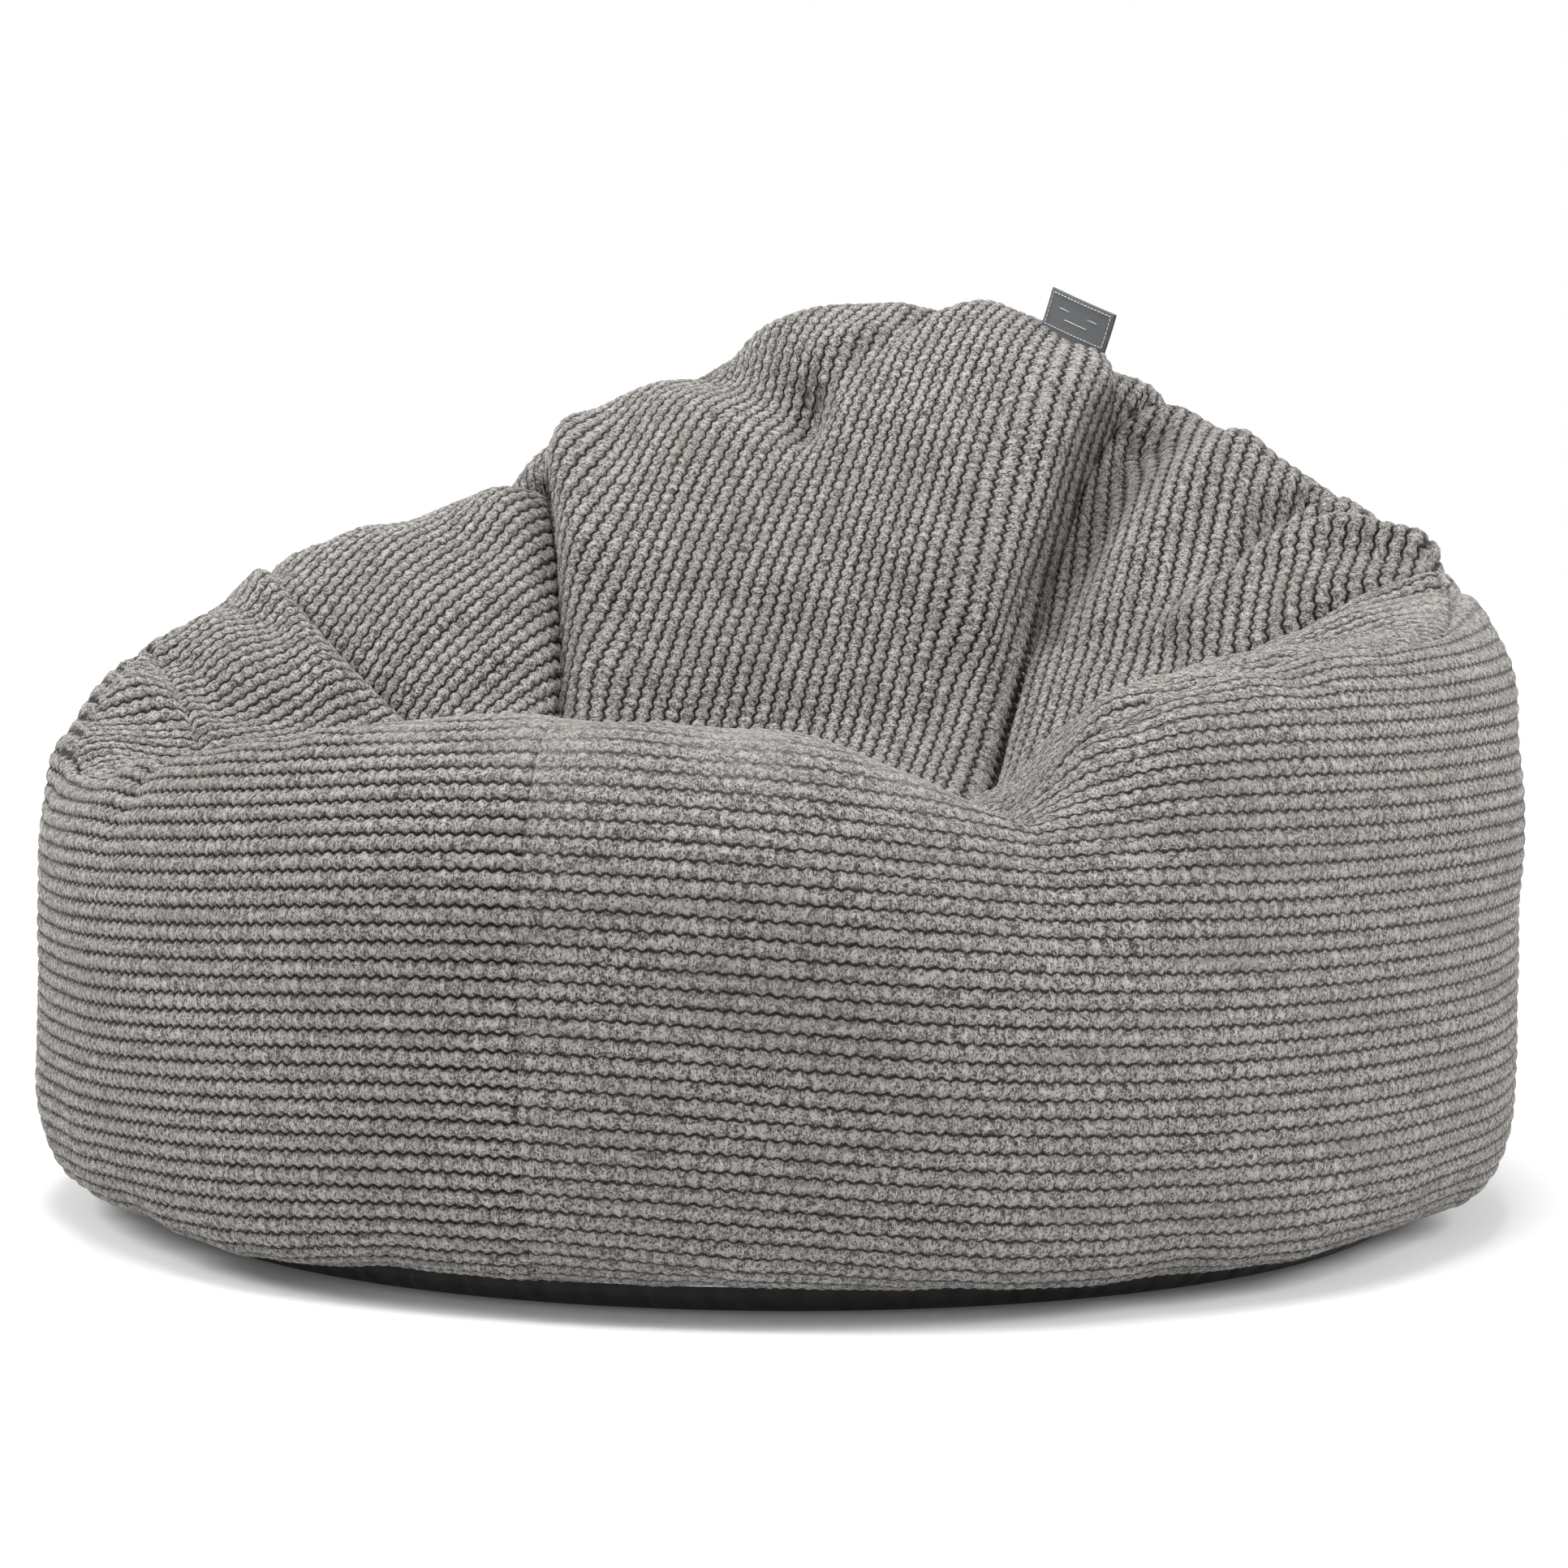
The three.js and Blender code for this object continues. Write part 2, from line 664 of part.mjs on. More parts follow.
// Slider seen along the zip: two plates joined by the post that runs between the coils.
function sliderGeometry() {
  const half = SLIDER_WIDTH / 2;
  const post = SLIDER_POST / 2;
  const inner = SLIDER_OPENING / 2;
  const outer = inner + SLIDER_PLATE;
  const lip = inner - SLIDER_LIP_DROP;
  const quarter = [
    [post, inner],
    [half - SLIDER_LIP, inner],
    [half - SLIDER_LIP, lip],
    [half, lip],
    [half, outer - SLIDER_LIP],
    [half - SLIDER_LIP, outer],
  ];
  const right = [...quarter.map(([y, z]) => [y, -z]).reverse(), ...quarter];
  const left = right.map(([y, z]) => [-y, -z]);
  const outline = [...right, ...left].map(([y, z]) => new THREE.Vector2(y, z));
  const settings = { depth: SLIDER_LENGTH, bevelEnabled: false };
  const body = new THREE.ExtrudeGeometry(new THREE.Shape(outline), settings);
  return body.rotateX(Math.PI / 2).rotateZ(Math.PI / 2).translate(-SLIDER_LENGTH / 2, 0, 0);
}

function addZip(prefix, y, z) {
  const coilY = COIL_GAP / 2 + COIL_WIDTH / 2;
  const tapeY = COIL_GAP / 2 + COIL_WIDTH + CLEAR + TAPE_WIDTH / 2;
  for (const [side, sign] of [["front", -1], ["rear", 1]]) {
    const tape = block(ZIP_LENGTH + 2 * TAPE_OVERRUN, TAPE_WIDTH, TAPE_THICKNESS, 0, y + sign * tapeY, z);
    addPart(`${prefix}_zip_tape_${side}`, tape, zipTape);
    const coil = block(ZIP_LENGTH, COIL_WIDTH, COIL_HEIGHT, 0, y + sign * coilY, z);
    addPart(`${prefix}_zip_coil_${side}`, coil, zipCoil);
  }
  const stopX = ZIP_LENGTH / 2 + CLEAR + STOP_LENGTH / 2;
  for (const [side, sign] of [["left", -1], ["right", 1]]) {
    const stop = block(STOP_LENGTH, STOP_WIDTH, SLIDER_OPENING, sign * stopX, y, z);
    addPart(`${prefix}_zip_stop_${side}`, stop, sliderMetal);
  }
  const slider = addPart(`${prefix}_zip_slider`, sliderGeometry(), sliderMetal);
  slider.position.set((ZIP_LENGTH - SLIDER_LENGTH) / 2 - SLIDER_PARK_GAP, y, z);
}

// Strip folded double over its top edge, standing out of the back seam.
function addWovenLabel() {
  const outer = new THREE.Shape();
  const half = LABEL_LAYER + CLEAR / 2;
  outer.moveTo(-half, 0);
  outer.lineTo(-CLEAR / 2, 0);
  outer.lineTo(-CLEAR / 2, LABEL_HEIGHT - half);
  outer.lineTo(CLEAR / 2, LABEL_HEIGHT - half);
  outer.lineTo(CLEAR / 2, 0);
  outer.lineTo(half, 0);
  outer.lineTo(half, LABEL_HEIGHT - half);
  outer.absarc(0, LABEL_HEIGHT - half, half, 0, Math.PI, false);
  outer.closePath();
  const settings = { depth: LABEL_WIDTH, bevelEnabled: false, curveSegments: 8 };
  const folded = new THREE.ExtrudeGeometry(outer, settings);
  folded.translate(0, 0, -LABEL_WIDTH / 2);
  const label = addPart("woven_label", folded, labelWeave);
  const along = rimPoint(LABEL_AZIMUTH + 3).sub(rimPoint(LABEL_AZIMUTH - 3)).normalize();
  const up = levelNormal(along, LABEL_AZIMUTH);
  const through = up.clone().cross(along);
  label.quaternion.setFromRotationMatrix(new THREE.Matrix4().makeBasis(through, up, along));
  label.position.copy(rimPoint(LABEL_AZIMUTH)).addScaledVector(up, LABEL_LIFT);
}

// Tag sewn into the hem at the back, lying just above the floor.
function addCareLabel() {
  const [width, length, thickness] = CARE_LABEL_SIZE;
  const tag = addPart("care_label", new THREE.BoxGeometry(width, length, thickness), careSatin);
  const hem = polarPoint(CARE_LABEL_AZIMUTH, ovalDistance(CARE_LABEL_AZIMUTH, HEM_RADIUS), 0);
  const outward = new THREE.Vector3(hem.x, hem.y, 0).normalize();
  tag.position.copy(hem).addScaledVector(outward, length / 2 + CARE_LABEL_GAP);
  tag.position.z = CARE_LABEL_HEIGHT;
  tag.rotation.z = Math.atan2(outward.y, outward.x) - Math.PI / 2;
}

addCover();
addLiner();
addFill();
addBase();
addZip("cover", COVER_ZIP_Y, COVER_ZIP_HEIGHT);
addZip("liner", LINER_ZIP_Y, LINER_ZIP_HEIGHT);
addWovenLabel();
addCareLabel();

// The origin is the centre of the footprint's bounding box, on the floor.
const bounds = new THREE.Box3().setFromObject(chair, true);
const centre = bounds.getCenter(new THREE.Vector3());
for (const part of chair.children) {
  part.position.x -= centre.x;
  part.position.y -= centre.y;
  part.position.z -= bounds.min.z;
}

export default chair;
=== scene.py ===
# Round bean bag chair in chunky grey cord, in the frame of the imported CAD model. Metres, +Z up.
import math

import bmesh
import bpy
import numpy as np
from mathutils import Matrix, Vector


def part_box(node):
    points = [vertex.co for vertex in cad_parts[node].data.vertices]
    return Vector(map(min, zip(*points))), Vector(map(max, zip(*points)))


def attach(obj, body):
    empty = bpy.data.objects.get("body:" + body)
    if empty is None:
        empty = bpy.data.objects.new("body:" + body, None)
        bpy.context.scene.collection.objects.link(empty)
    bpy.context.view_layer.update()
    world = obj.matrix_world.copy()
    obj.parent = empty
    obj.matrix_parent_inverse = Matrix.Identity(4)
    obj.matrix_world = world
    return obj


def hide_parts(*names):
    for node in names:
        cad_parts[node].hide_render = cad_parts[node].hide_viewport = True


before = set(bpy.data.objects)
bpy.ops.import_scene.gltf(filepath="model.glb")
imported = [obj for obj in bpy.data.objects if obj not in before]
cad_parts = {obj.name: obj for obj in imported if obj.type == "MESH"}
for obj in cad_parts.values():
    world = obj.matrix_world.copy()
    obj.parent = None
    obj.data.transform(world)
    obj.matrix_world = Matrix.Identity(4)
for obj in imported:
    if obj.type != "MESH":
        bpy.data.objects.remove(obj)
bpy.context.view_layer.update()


# ---------------------------------------------------------------- the bag's shape, as in the CAD

SEAT_CENTRE_Y = -0.060
SEAT_HEIGHT = 0.250
SEAT_FLAT_SHARE = 0.14
DRUM_RADIUS = 0.498
DRUM_DEPTH_RATIO = 0.95
WIDEST_HEIGHT = 0.150
HEM_RADIUS = 0.449
HEM_HEIGHT = 0.017
HEM_FULLNESS = 0.9
RIM_FULLNESS = 0.62
# Heights over the hem of the two handles of the curve from the hem to the widest height.
HEM_HANDLES = (0.005, 0.030)
# The least distance that the wall bulges past the rim, and the steepest fall outside the rim.
LEAST_BULGE = 0.02
STEEPEST_FALL = 1.2

# Azimuth about the seat centre (0 at the front, 90 towards +X), rim height, distance from the centre.
RIM = np.array(
    [
        (0, 0.347, 0.350),
        (23, 0.335, 0.354),
        (43, 0.298, 0.374),
        (60, 0.358, 0.390),
        (78, 0.384, 0.418),
        (98, 0.389, 0.464),
        (118, 0.423, 0.481),
        (132, 0.471, 0.475),
        (147, 0.534, 0.448),
        (164, 0.610, 0.409),
        (181, 0.632, 0.396),
        (198, 0.610, 0.386),
        (214, 0.556, 0.392),
        (231, 0.482, 0.418),
        (246, 0.437, 0.446),
        (258, 0.391, 0.467),
        (270, 0.335, 0.474),
        (282, 0.296, 0.462),
        (297, 0.292, 0.430),
        (314, 0.314, 0.388),
        (337, 0.337, 0.355),
    ]
)

FRONT_RIGHT = 43
SIDE_RIGHT = 118
BACK_RIGHT = 154
BACK_LEFT = 224
SIDE_LEFT = 250
ARM_BACK = 264
FRONT_LEFT = 312
WAIST_RIGHT = (0.130, 0.0)
WAIST_LEFT = (-0.165, -0.030)
ARM_MIDDLE = (-0.345, -0.165)
DIVIDE_MIDDLE = (-0.318, 0.018)

front_low, front_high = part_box("base_front")
_, rear_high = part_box("base_rear")
DRUM_AXIS = np.array(
    [(front_low[0] + front_high[0]) / 2, (front_low[1] + rear_high[1]) / 2]
)


def rim_value(azimuth, column):
    """Smooth closed curve through one column of the rim's stations."""
    turn = np.mod(azimuth, 360)
    index = np.searchsorted(RIM[:, 0], turn, side="right") - 1

    def station(offset):
        place = index + offset
        row = RIM[np.mod(place, len(RIM))]
        return row[..., 0] + 360 * np.floor_divide(place, len(RIM)), row[..., column]

    (at_a, a), (at_b, b), (at_c, c), (at_d, d) = [station(n) for n in (-1, 0, 1, 2)]
    span = at_c - at_b
    t = (turn - at_b) / span
    slope_b = (c - a) / (at_c - at_a) * span
    slope_c = (d - b) / (at_d - at_b) * span
    cubic = slope_b + slope_c - 2 * (c - b)
    square = 3 * (c - b) - 2 * slope_b - slope_c
    return b + t * (slope_b + t * (square + t * cubic))


def rim_height(azimuth):
    return rim_value(azimuth, 1)


def rim_distance(azimuth):
    return rim_value(azimuth, 2)


def polar_plan(azimuth, distance):
    angle = np.radians(azimuth)
    x = distance * np.sin(angle)
    y = SEAT_CENTRE_Y - distance * np.cos(angle)
    return np.stack([x, y], axis=-1)


def to_polar(plan):
    """(azimuth, distance) about the seat centre of plan points."""
    x = plan[..., 0]
    forward = SEAT_CENTRE_Y - plan[..., 1]
    return np.degrees(np.arctan2(x, forward)), np.hypot(x, forward)


def placed(plan, height):
    """Points of the row frame from plan points about the drum's axis and heights."""
    return np.concatenate([plan + DRUM_AXIS, height[..., None]], axis=-1)


def oval_distance(azimuth, half_width):
    """Distance from the seat centre to the oval of that half width round the drum's axis."""
    angle = np.radians(azimuth)
    along = np.cos(angle) / DRUM_DEPTH_RATIO
    centre = SEAT_CENTRE_Y / DRUM_DEPTH_RATIO
    a = np.sin(angle) ** 2 + along**2
    b = along * centre
    return (b + np.sqrt(b * b - a * (centre**2 - half_width**2))) / a


def bezier(p0, p1, p2, p3, t):
    s = 1 - t
    return s**3 * p0 + 3 * s * s * t * p1 + 3 * s * t * t * p2 + t**3 * p3


def lower_wall(azimuth, t):
    """(distance, height) on the wall from the hem (t 0) to the widest height (t 1)."""
    hem = oval_distance(azimuth, HEM_RADIUS)
    widest = oval_distance(azimuth, DRUM_RADIUS)
    distance = bezier(hem, hem + HEM_FULLNESS * (widest - hem), widest, widest, t)
    first, second = HEM_HANDLES
    height = bezier(HEM_HEIGHT, HEM_HEIGHT + first, HEM_HEIGHT + second, WIDEST_HEIGHT, t)
    return distance, height + 0 * distance


def upper_wall(azimuth, t):
    """(distance, height) on the wall from the widest height (t 0) to the rim (t 1)."""
    widest = oval_distance(azimuth, DRUM_RADIUS)
    rim = rim_distance(azimuth)
    top = rim_height(azimuth)
    rise = top - WIDEST_HEIGHT
    distance = bezier(widest, widest, rim + RIM_FULLNESS * (widest - rim), rim, t)
    height = bezier(WIDEST_HEIGHT, WIDEST_HEIGHT + RIM_FULLNESS * rise, top, top, t)
    return distance, height


def rim_bend(azimuth):
    """How fast the top bends down outside the rim, so that it meets the wall."""
    bulge = np.maximum(oval_distance(azimuth, DRUM_RADIUS) - rim_distance(azimuth), LEAST_BULGE)
    rise = rim_height(azimuth) - WIDEST_HEIGHT
    return (1 - RIM_FULLNESS) * rise / (3 * RIM_FULLNESS**2 * bulge**2)


def top_height(plan):
    """Height of the top over plan points, which may lie a little outside the rim."""
    azimuth, distance = to_polar(plan)
    rim = rim_distance(azimuth)
    top = rim_height(azimuth)
    climb = np.clip((distance / rim - SEAT_FLAT_SHARE) / (1 - SEAT_FLAT_SHARE), 0, 1)
    inside = SEAT_HEIGHT + (top - SEAT_HEIGHT) * climb**2 * (3 - 2 * climb)
    outside = np.maximum(distance - rim, 0)
    return inside - np.minimum(rim_bend(azimuth) * outside**2, STEEPEST_FALL * outside)


def unrolled(plan):
    """The chart's place for plan points: the same inside the rim, laid out flat outside it."""
    azimuth, distance = to_polar(plan)
    rim = rim_distance(azimuth)
    bend = rim_bend(azimuth)
    slope = 2 * bend * np.maximum(distance - rim, 0)
    length = (slope * np.sqrt(1 + slope**2) + np.arcsinh(slope)) / (4 * bend)
    return polar_plan(azimuth, np.minimum(distance, rim) + length)


def quadratic_through(start, middle, end, t):
    """Curve in plan from start to end that passes the middle point half way."""
    start, middle, end = [np.asarray(p, float) for p in (start, middle, end)]
    control = 2 * middle - (start + end) / 2
    t = np.asarray(t, float)[..., None]
    return (1 - t) ** 2 * start + 2 * t * (1 - t) * control + t * t * end


def rim_plan(azimuth, outwards=0.0):
    azimuth = np.asarray(azimuth, float)
    return polar_plan(azimuth, rim_distance(azimuth) + outwards)


def edge_plan(azimuth):
    """The seam between wall and top."""
    return rim_plan(azimuth, -crest_inset(azimuth))


def left_seam(t):
    return quadratic_through(edge_plan(FRONT_LEFT), WAIST_LEFT, edge_plan(BACK_LEFT), t)


def right_seam(t):
    return quadratic_through(edge_plan(FRONT_RIGHT), WAIST_RIGHT, edge_plan(BACK_RIGHT), t)


def arm_seam(t):
    return quadratic_through(edge_plan(ARM_BACK), ARM_MIDDLE, edge_plan(FRONT_LEFT), t)


def straight(start, end, count=12):
    t = np.linspace(0, 1, count)[:, None]
    return np.asarray(start) * (1 - t) + np.asarray(end) * t


# How far the seam between wall and top lies inside the crest of the rim, round the azimuth.
CREST_SEAM = np.array(
    [(0, 0.020), (45, 0.014), (60, 0.010), (110, 0.004), (135, -0.012), (180, -0.022)]
    + [(225, -0.014), (255, -0.004), (270, 0.0), (300, 0.002), (320, 0.014), (360, 0.020)]
)


def crest_inset(azimuth):
    return np.interp(np.mod(azimuth, 360), CREST_SEAM[:, 0], CREST_SEAM[:, 1])


# ---------------------------------------------------------------- cord fabric

WALE = 0.0102
BOBBLE = 0.0086
WALE_HEIGHT = 0.0036
CROWN_SHARE = 0.5
MEANDER = 0.12
PINCH = 0.20
# The bobbles of neighbouring wales drift out of step: by how much, over what length.
DRIFT = 0.9
DRIFT_LENGTH = 0.09
# Where the grid's lines cross a wale, in shares of it, and how many there are to a bobble.
WALE_SAMPLES = (0.0, 0.10, 0.35, 0.65, 0.90)
BOBBLE_SAMPLES = 4
REAR_WALE_SAMPLES = (0.0, 0.15, 0.5, 0.85)
REAR_BOBBLE_SAMPLES = 3
PANEL_OVERLAP = 0.005


def wale_positions(low, high, samples=WALE_SAMPLES):
    """Wale coordinates of the grid lines between two distances, groove lines at whole numbers."""
    first = math.floor(low / WALE) - 1
    last = math.ceil(high / WALE) + 1
    return np.array([k + f for k in range(first, last) for f in samples])


def bobble_positions(low, high, samples=BOBBLE_SAMPLES):
    step = BOBBLE / samples
    return np.arange(low, high + step, step)


def value_noise(points, wavelength, seed, waves=14):
    """Smooth noise in about -1 to 1: a sum of sine waves in random directions."""
    source = np.random.default_rng(seed)
    total = 0
    for _ in range(waves):
        direction = source.normal(size=points.shape[-1])
        direction /= np.linalg.norm(direction)
        length = wavelength * source.uniform(0.7, 1.5)
        phase = source.uniform(0, 2 * math.pi)
        total = total + np.sin(points @ direction * (2 * math.pi / length) + phase)
    return total / math.sqrt(waves)


def weave(wale, run):
    """Sideways shift (in wales) and height share of cord at wale and run coordinates."""
    spot = np.stack([wale * WALE, run], axis=-1)
    drift = DRIFT * value_noise(spot, DRIFT_LENGTH, seed=3, waves=8)
    groove = np.floor(wale)
    share = wale - groove
    sign = 1 - 2 * np.mod(groove, 2)
    swing = sign * np.cos(run * 2 * math.pi / BOBBLE + drift)
    shift = MEANDER * swing * (1 - 2 * share)
    near = np.clip(2 * np.minimum(share, 1 - share), 0, 1)
    crown = np.sqrt(1 - (1 - near) ** 2)
    return shift, crown * (1 - PINCH * (1 + swing) / 2)


# ---------------------------------------------------------------- meshes


def new_object(name, mesh):
    piece = bpy.data.objects.new(name, mesh)
    bpy.context.scene.collection.objects.link(piece)
    return piece


def grid_mesh(name, points, keep, attributes):
    """Mesh object of a grid of points (rows, columns, 3), less the faces with a vertex not kept."""
    rows, columns = keep.shape
    index = np.arange(rows * columns).reshape(rows, columns)
    corners = [index[:-1, :-1], index[:-1, 1:], index[1:, 1:], index[1:, :-1]]
    faces = np.stack([c.ravel() for c in corners], axis=-1)
    faces = faces[keep.ravel()[faces].all(axis=1)]
    used = np.unique(faces)
    renumber = np.zeros(rows * columns, int)
    renumber[used] = np.arange(len(used))
    vertices = points.reshape(-1, 3)[used]
    mesh = bpy.data.meshes.new(name)
    mesh.vertices.add(len(used))
    mesh.vertices.foreach_set("co", vertices.astype(np.float32).ravel())
    mesh.loops.add(4 * len(faces))
    mesh.loops.foreach_set("vertex_index", renumber[faces].astype(np.int32).ravel())
    mesh.polygons.add(len(faces))
    mesh.polygons.foreach_set("loop_start", np.arange(0, 4 * len(faces), 4, dtype=np.int32))
    mesh.polygons.foreach_set("use_smooth", np.ones(len(faces), bool))
    mesh.update(calc_edges=True)
    for key, values in attributes.items():
        layer = mesh.attributes.new(key, "FLOAT", "POINT")
        layer.data.foreach_set("value", values.ravel()[used].astype(np.float32))
    mesh.validate()
    return new_object(name, mesh)


def dress(piece, look, node):
    """Gives a piece its material and slot. It stands for the node and rides with the bag."""
    piece.data.materials.append(look)
    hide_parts(node)
    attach(piece, "bag")


def grid_normals(points, outward):
    """Unit normals of a grid, on the side where outward(points) points."""
    across = np.gradient(points, axis=1)
    along = np.gradient(points, axis=0)
    normals = np.cross(across, along)
    normals /= np.maximum(np.linalg.norm(normals, axis=-1, keepdims=True), 1e-12)
    flip = np.sign(np.sum(normals * outward, axis=-1, keepdims=True))
    return normals * np.where(flip == 0, 1, flip)


ROLL_REACH = 1.4
ROLL_SHARE = 0.5
DIVE_SLOPE = 1.5


def roll_to_seam(distance, width):
    """1 at a seam and 0 away from it: a rounded roll that is steep at the seam, with a soft tail."""
    near = np.clip(1 - distance / (ROLL_REACH * width), 0, 1)
    roll = 1 - np.sqrt(1 - near**2)
    return ROLL_SHARE * roll + (1 - ROLL_SHARE) * np.exp(-distance / width)


def seam_tuck(distance, depth, width):
    """Depth of the valley beside a seam; past the seam the cloth dives under its neighbour."""
    past = np.maximum(-distance, 0)
    return depth * roll_to_seam(np.maximum(distance, 0), width) + past * DIVE_SLOPE


# Lumps of the whole bag: height, wavelength in metres, and seed.
LUMPS = [(0.0028, 0.26, 11), (0.0016, 0.12, 12), (0.0008, 0.060, 13)]

# Folds, in plan about the drum's axis with the wall laid out flat beyond the rim. Each has the line
# it follows, its height (below zero for a crease), and its half width at its start and at its end.
# A fold loses the share FOLD_FADE of its height on the way to its end.
FOLD_FADE = 0.45
FOLDS = [
    ([(0.032, 0.335), (0.012, 0.300), (-0.026, 0.246), (-0.050, 0.226)], -0.015, 0.011, 0.016),
    ([(-0.050, 0.226), (-0.100, 0.245), (-0.150, 0.285), (-0.185, 0.330)], -0.026, 0.018, 0.030),
    ([(-0.010, 0.330), (-0.060, 0.305), (-0.095, 0.285)], 0.007, 0.018, 0.022),
    ([(0.000, 0.290), (-0.055, 0.262)], 0.005, 0.009, 0.011),
    ([(0.060, 0.330), (0.026, 0.285), (-0.010, 0.215)], 0.006, 0.020, 0.034),
    ([(0.110, 0.335), (0.085, 0.270), (0.060, 0.190)], 0.007, 0.030, 0.045),
    ([(-0.235, 0.225), (-0.200, 0.165), (-0.155, 0.080)], 0.018, 0.022, 0.028),
    ([(-0.175, 0.260), (-0.130, 0.190), (-0.100, 0.110)], 0.008, 0.035, 0.045),
    ([(0.148, 0.310), (0.130, 0.255), (0.104, 0.160)], 0.020, 0.022, 0.026),
    ([(0.200, 0.292), (0.180, 0.250), (0.154, 0.164)], -0.032, 0.019, 0.017),
    ([(0.330, 0.275), (0.300, 0.235), (0.280, 0.180)], -0.026, 0.011, 0.014),
    ([(0.265, 0.285), (0.238, 0.245), (0.205, 0.165)], 0.018, 0.020, 0.024),
    ([(0.405, 0.195), (0.350, 0.200), (0.300, 0.178), (0.262, 0.140)], 0.022, 0.014, 0.020),
    ([(0.430, 0.228), (0.385, 0.238), (0.335, 0.228), (0.296, 0.200)], -0.026, 0.012, 0.014),
    ([(0.430, 0.150), (0.360, 0.150), (0.300, 0.140)], 0.012, 0.020, 0.028),
    ([(0.445, 0.080), (0.390, 0.050), (0.320, 0.020)], 0.012, 0.024, 0.034),
    ([(0.240, -0.290), (0.210, -0.190), (0.165, -0.080)], -0.014, 0.016, 0.030),
    ([(0.290, -0.290), (0.300, -0.180), (0.340, -0.080)], 0.010, 0.020, 0.030),
    ([(-0.418, 0.075), (-0.380, 0.042), (-0.332, -0.008), (-0.306, -0.050)], 0.015, 0.015, 0.018),
    ([(-0.370, 0.150), (-0.330, 0.110), (-0.265, 0.050)], 0.011, 0.028, 0.040),
    ([(-0.290, 0.195), (-0.260, 0.150), (-0.225, 0.095)], 0.012, 0.024, 0.030),
    ([(-0.440, 0.020), (-0.410, 0.000), (-0.370, -0.040)], 0.009, 0.018, 0.022),
    ([(-0.450, -0.020), (-0.425, -0.035), (-0.385, -0.070)], -0.009, 0.012, 0.015),
    ([(-0.450, -0.070), (-0.410, -0.080), (-0.365, -0.115)], 0.010, 0.018, 0.020),
    ([(-0.470, -0.130), (-0.425, -0.150), (-0.385, -0.190)], 0.005, 0.020, 0.020),
    ([(-0.150, -0.400), (-0.060, -0.392), (0.040, -0.385)], 0.005, 0.020, 0.030),
    ([(-0.060, -0.372), (0.020, -0.370), (0.110, -0.352), (0.190, -0.318)], -0.007, 0.008, 0.012),
    ([(0.060, -0.392), (0.130, -0.372), (0.200, -0.340)], 0.005, 0.010, 0.014),
    ([(0.240, -0.330), (0.330, -0.330), (0.430, -0.270)], -0.005, 0.020, 0.035),
]

# Broad bulges: plan position in the same chart, height, half width.
BULGES = [
    ((-0.640, -0.240), 0.011, 0.17),
    ((-0.475, -0.040), 0.012, 0.07),
    ((-0.510, -0.130), 0.007, 0.05),
    ((0.500, 0.090), 0.008, 0.045),
    ((-0.005, 0.330), -0.007, 0.05),
    ((-0.150, 0.262), -0.008, 0.04),
    ((-0.425, 0.095), 0.013, 0.06),
    ((-0.380, 0.165), -0.007, 0.040),
    ((0.540, 0.120), 0.010, 0.10),
    ((0.540, 0.000), 0.008, 0.08),
    ((0.450, 0.120), -0.008, 0.05),
    ((-0.100, 0.310), -0.004, 0.09),
    ((0.150, 0.330), -0.017, 0.050),
    ((-0.292, 0.225), -0.024, 0.026),
    ((0.200, 0.345), 0.016, 0.034),
]

# Where an edge of the seat strip rolls over its neighbour: line in the chart, shift, half width.
OVERHANGS = [
    ([(0.146, 0.290), (0.130, 0.240), (0.100, 0.150)], (0.016, -0.004, -0.002), 0.022),
    ([(-0.226, 0.205), (-0.198, 0.155), (-0.164, 0.085)], (-0.009, -0.004, 0.0), 0.020),
]


def overhang(chart):
    total = np.zeros(chart.shape[:-1] + (3,))
    for line, shift, width in OVERHANGS:
        gap = distance_to_line(chart, np.array(line))
        total = total + np.exp(-((gap / width) ** 2))[..., None] * np.array(shift)
    return total


def lumps(points):
    return sum(size * value_noise(points, length, seed) for size, length, seed in LUMPS)


def fold_height(chart):
    """Height of all the folds and bulges at points of the chart."""
    total = np.zeros(chart.shape[:-1])
    for line, height, start_width, end_width in FOLDS:
        line = np.array(line)
        lengths = np.concatenate([[0], np.cumsum(np.linalg.norm(np.diff(line, axis=0), axis=1))])
        best = np.full(total.shape, np.inf)
        share = np.zeros(total.shape)
        for number, (a, b) in enumerate(zip(line[:-1], line[1:])):
            along = b - a
            t = np.clip((chart - a) @ along / (along @ along), 0, 1)
            gap = np.linalg.norm(chart - a - t[..., None] * along, axis=-1)
            here = (lengths[number] + t * (lengths[number + 1] - lengths[number])) / lengths[-1]
            share = np.where(gap < best, here, share)
            best = np.minimum(best, gap)
        width = start_width + share * (end_width - start_width)
        total = total + height * (1 - FOLD_FADE * share**2) * np.exp(-((best / width) ** 2))
    for centre, height, width in BULGES:
        gap = np.linalg.norm(chart - np.array(centre), axis=-1)
        total = total + height * np.exp(-((gap / width) ** 2))
    return total


# Where the pile is brushed flat and its grooves close: plan position in the chart and half width.
BRUSHED_SPOTS = [
    ((0.000, -0.415), 0.055),
    ((0.110, -0.400), 0.045),
    ((0.190, -0.365), 0.035),
    ((-0.090, -0.405), 0.030),
    ((0.440, 0.060), 0.040),
    ((0.470, 0.140), 0.035),
    ((-0.020, 0.345), 0.030),
    ((-0.440, 0.085), 0.030),
]
# The share of its height that brushed pile keeps, and how far the brushing goes towards it.
BRUSHED_HEIGHT = 0.75
BRUSHING = 0.75


def brushed(chart):
    near = [
        np.exp(-((np.linalg.norm(chart - np.array(spot), axis=-1) / width) ** 2))
        for spot, width in BRUSHED_SPOTS
    ]
    return np.max(near, axis=0)


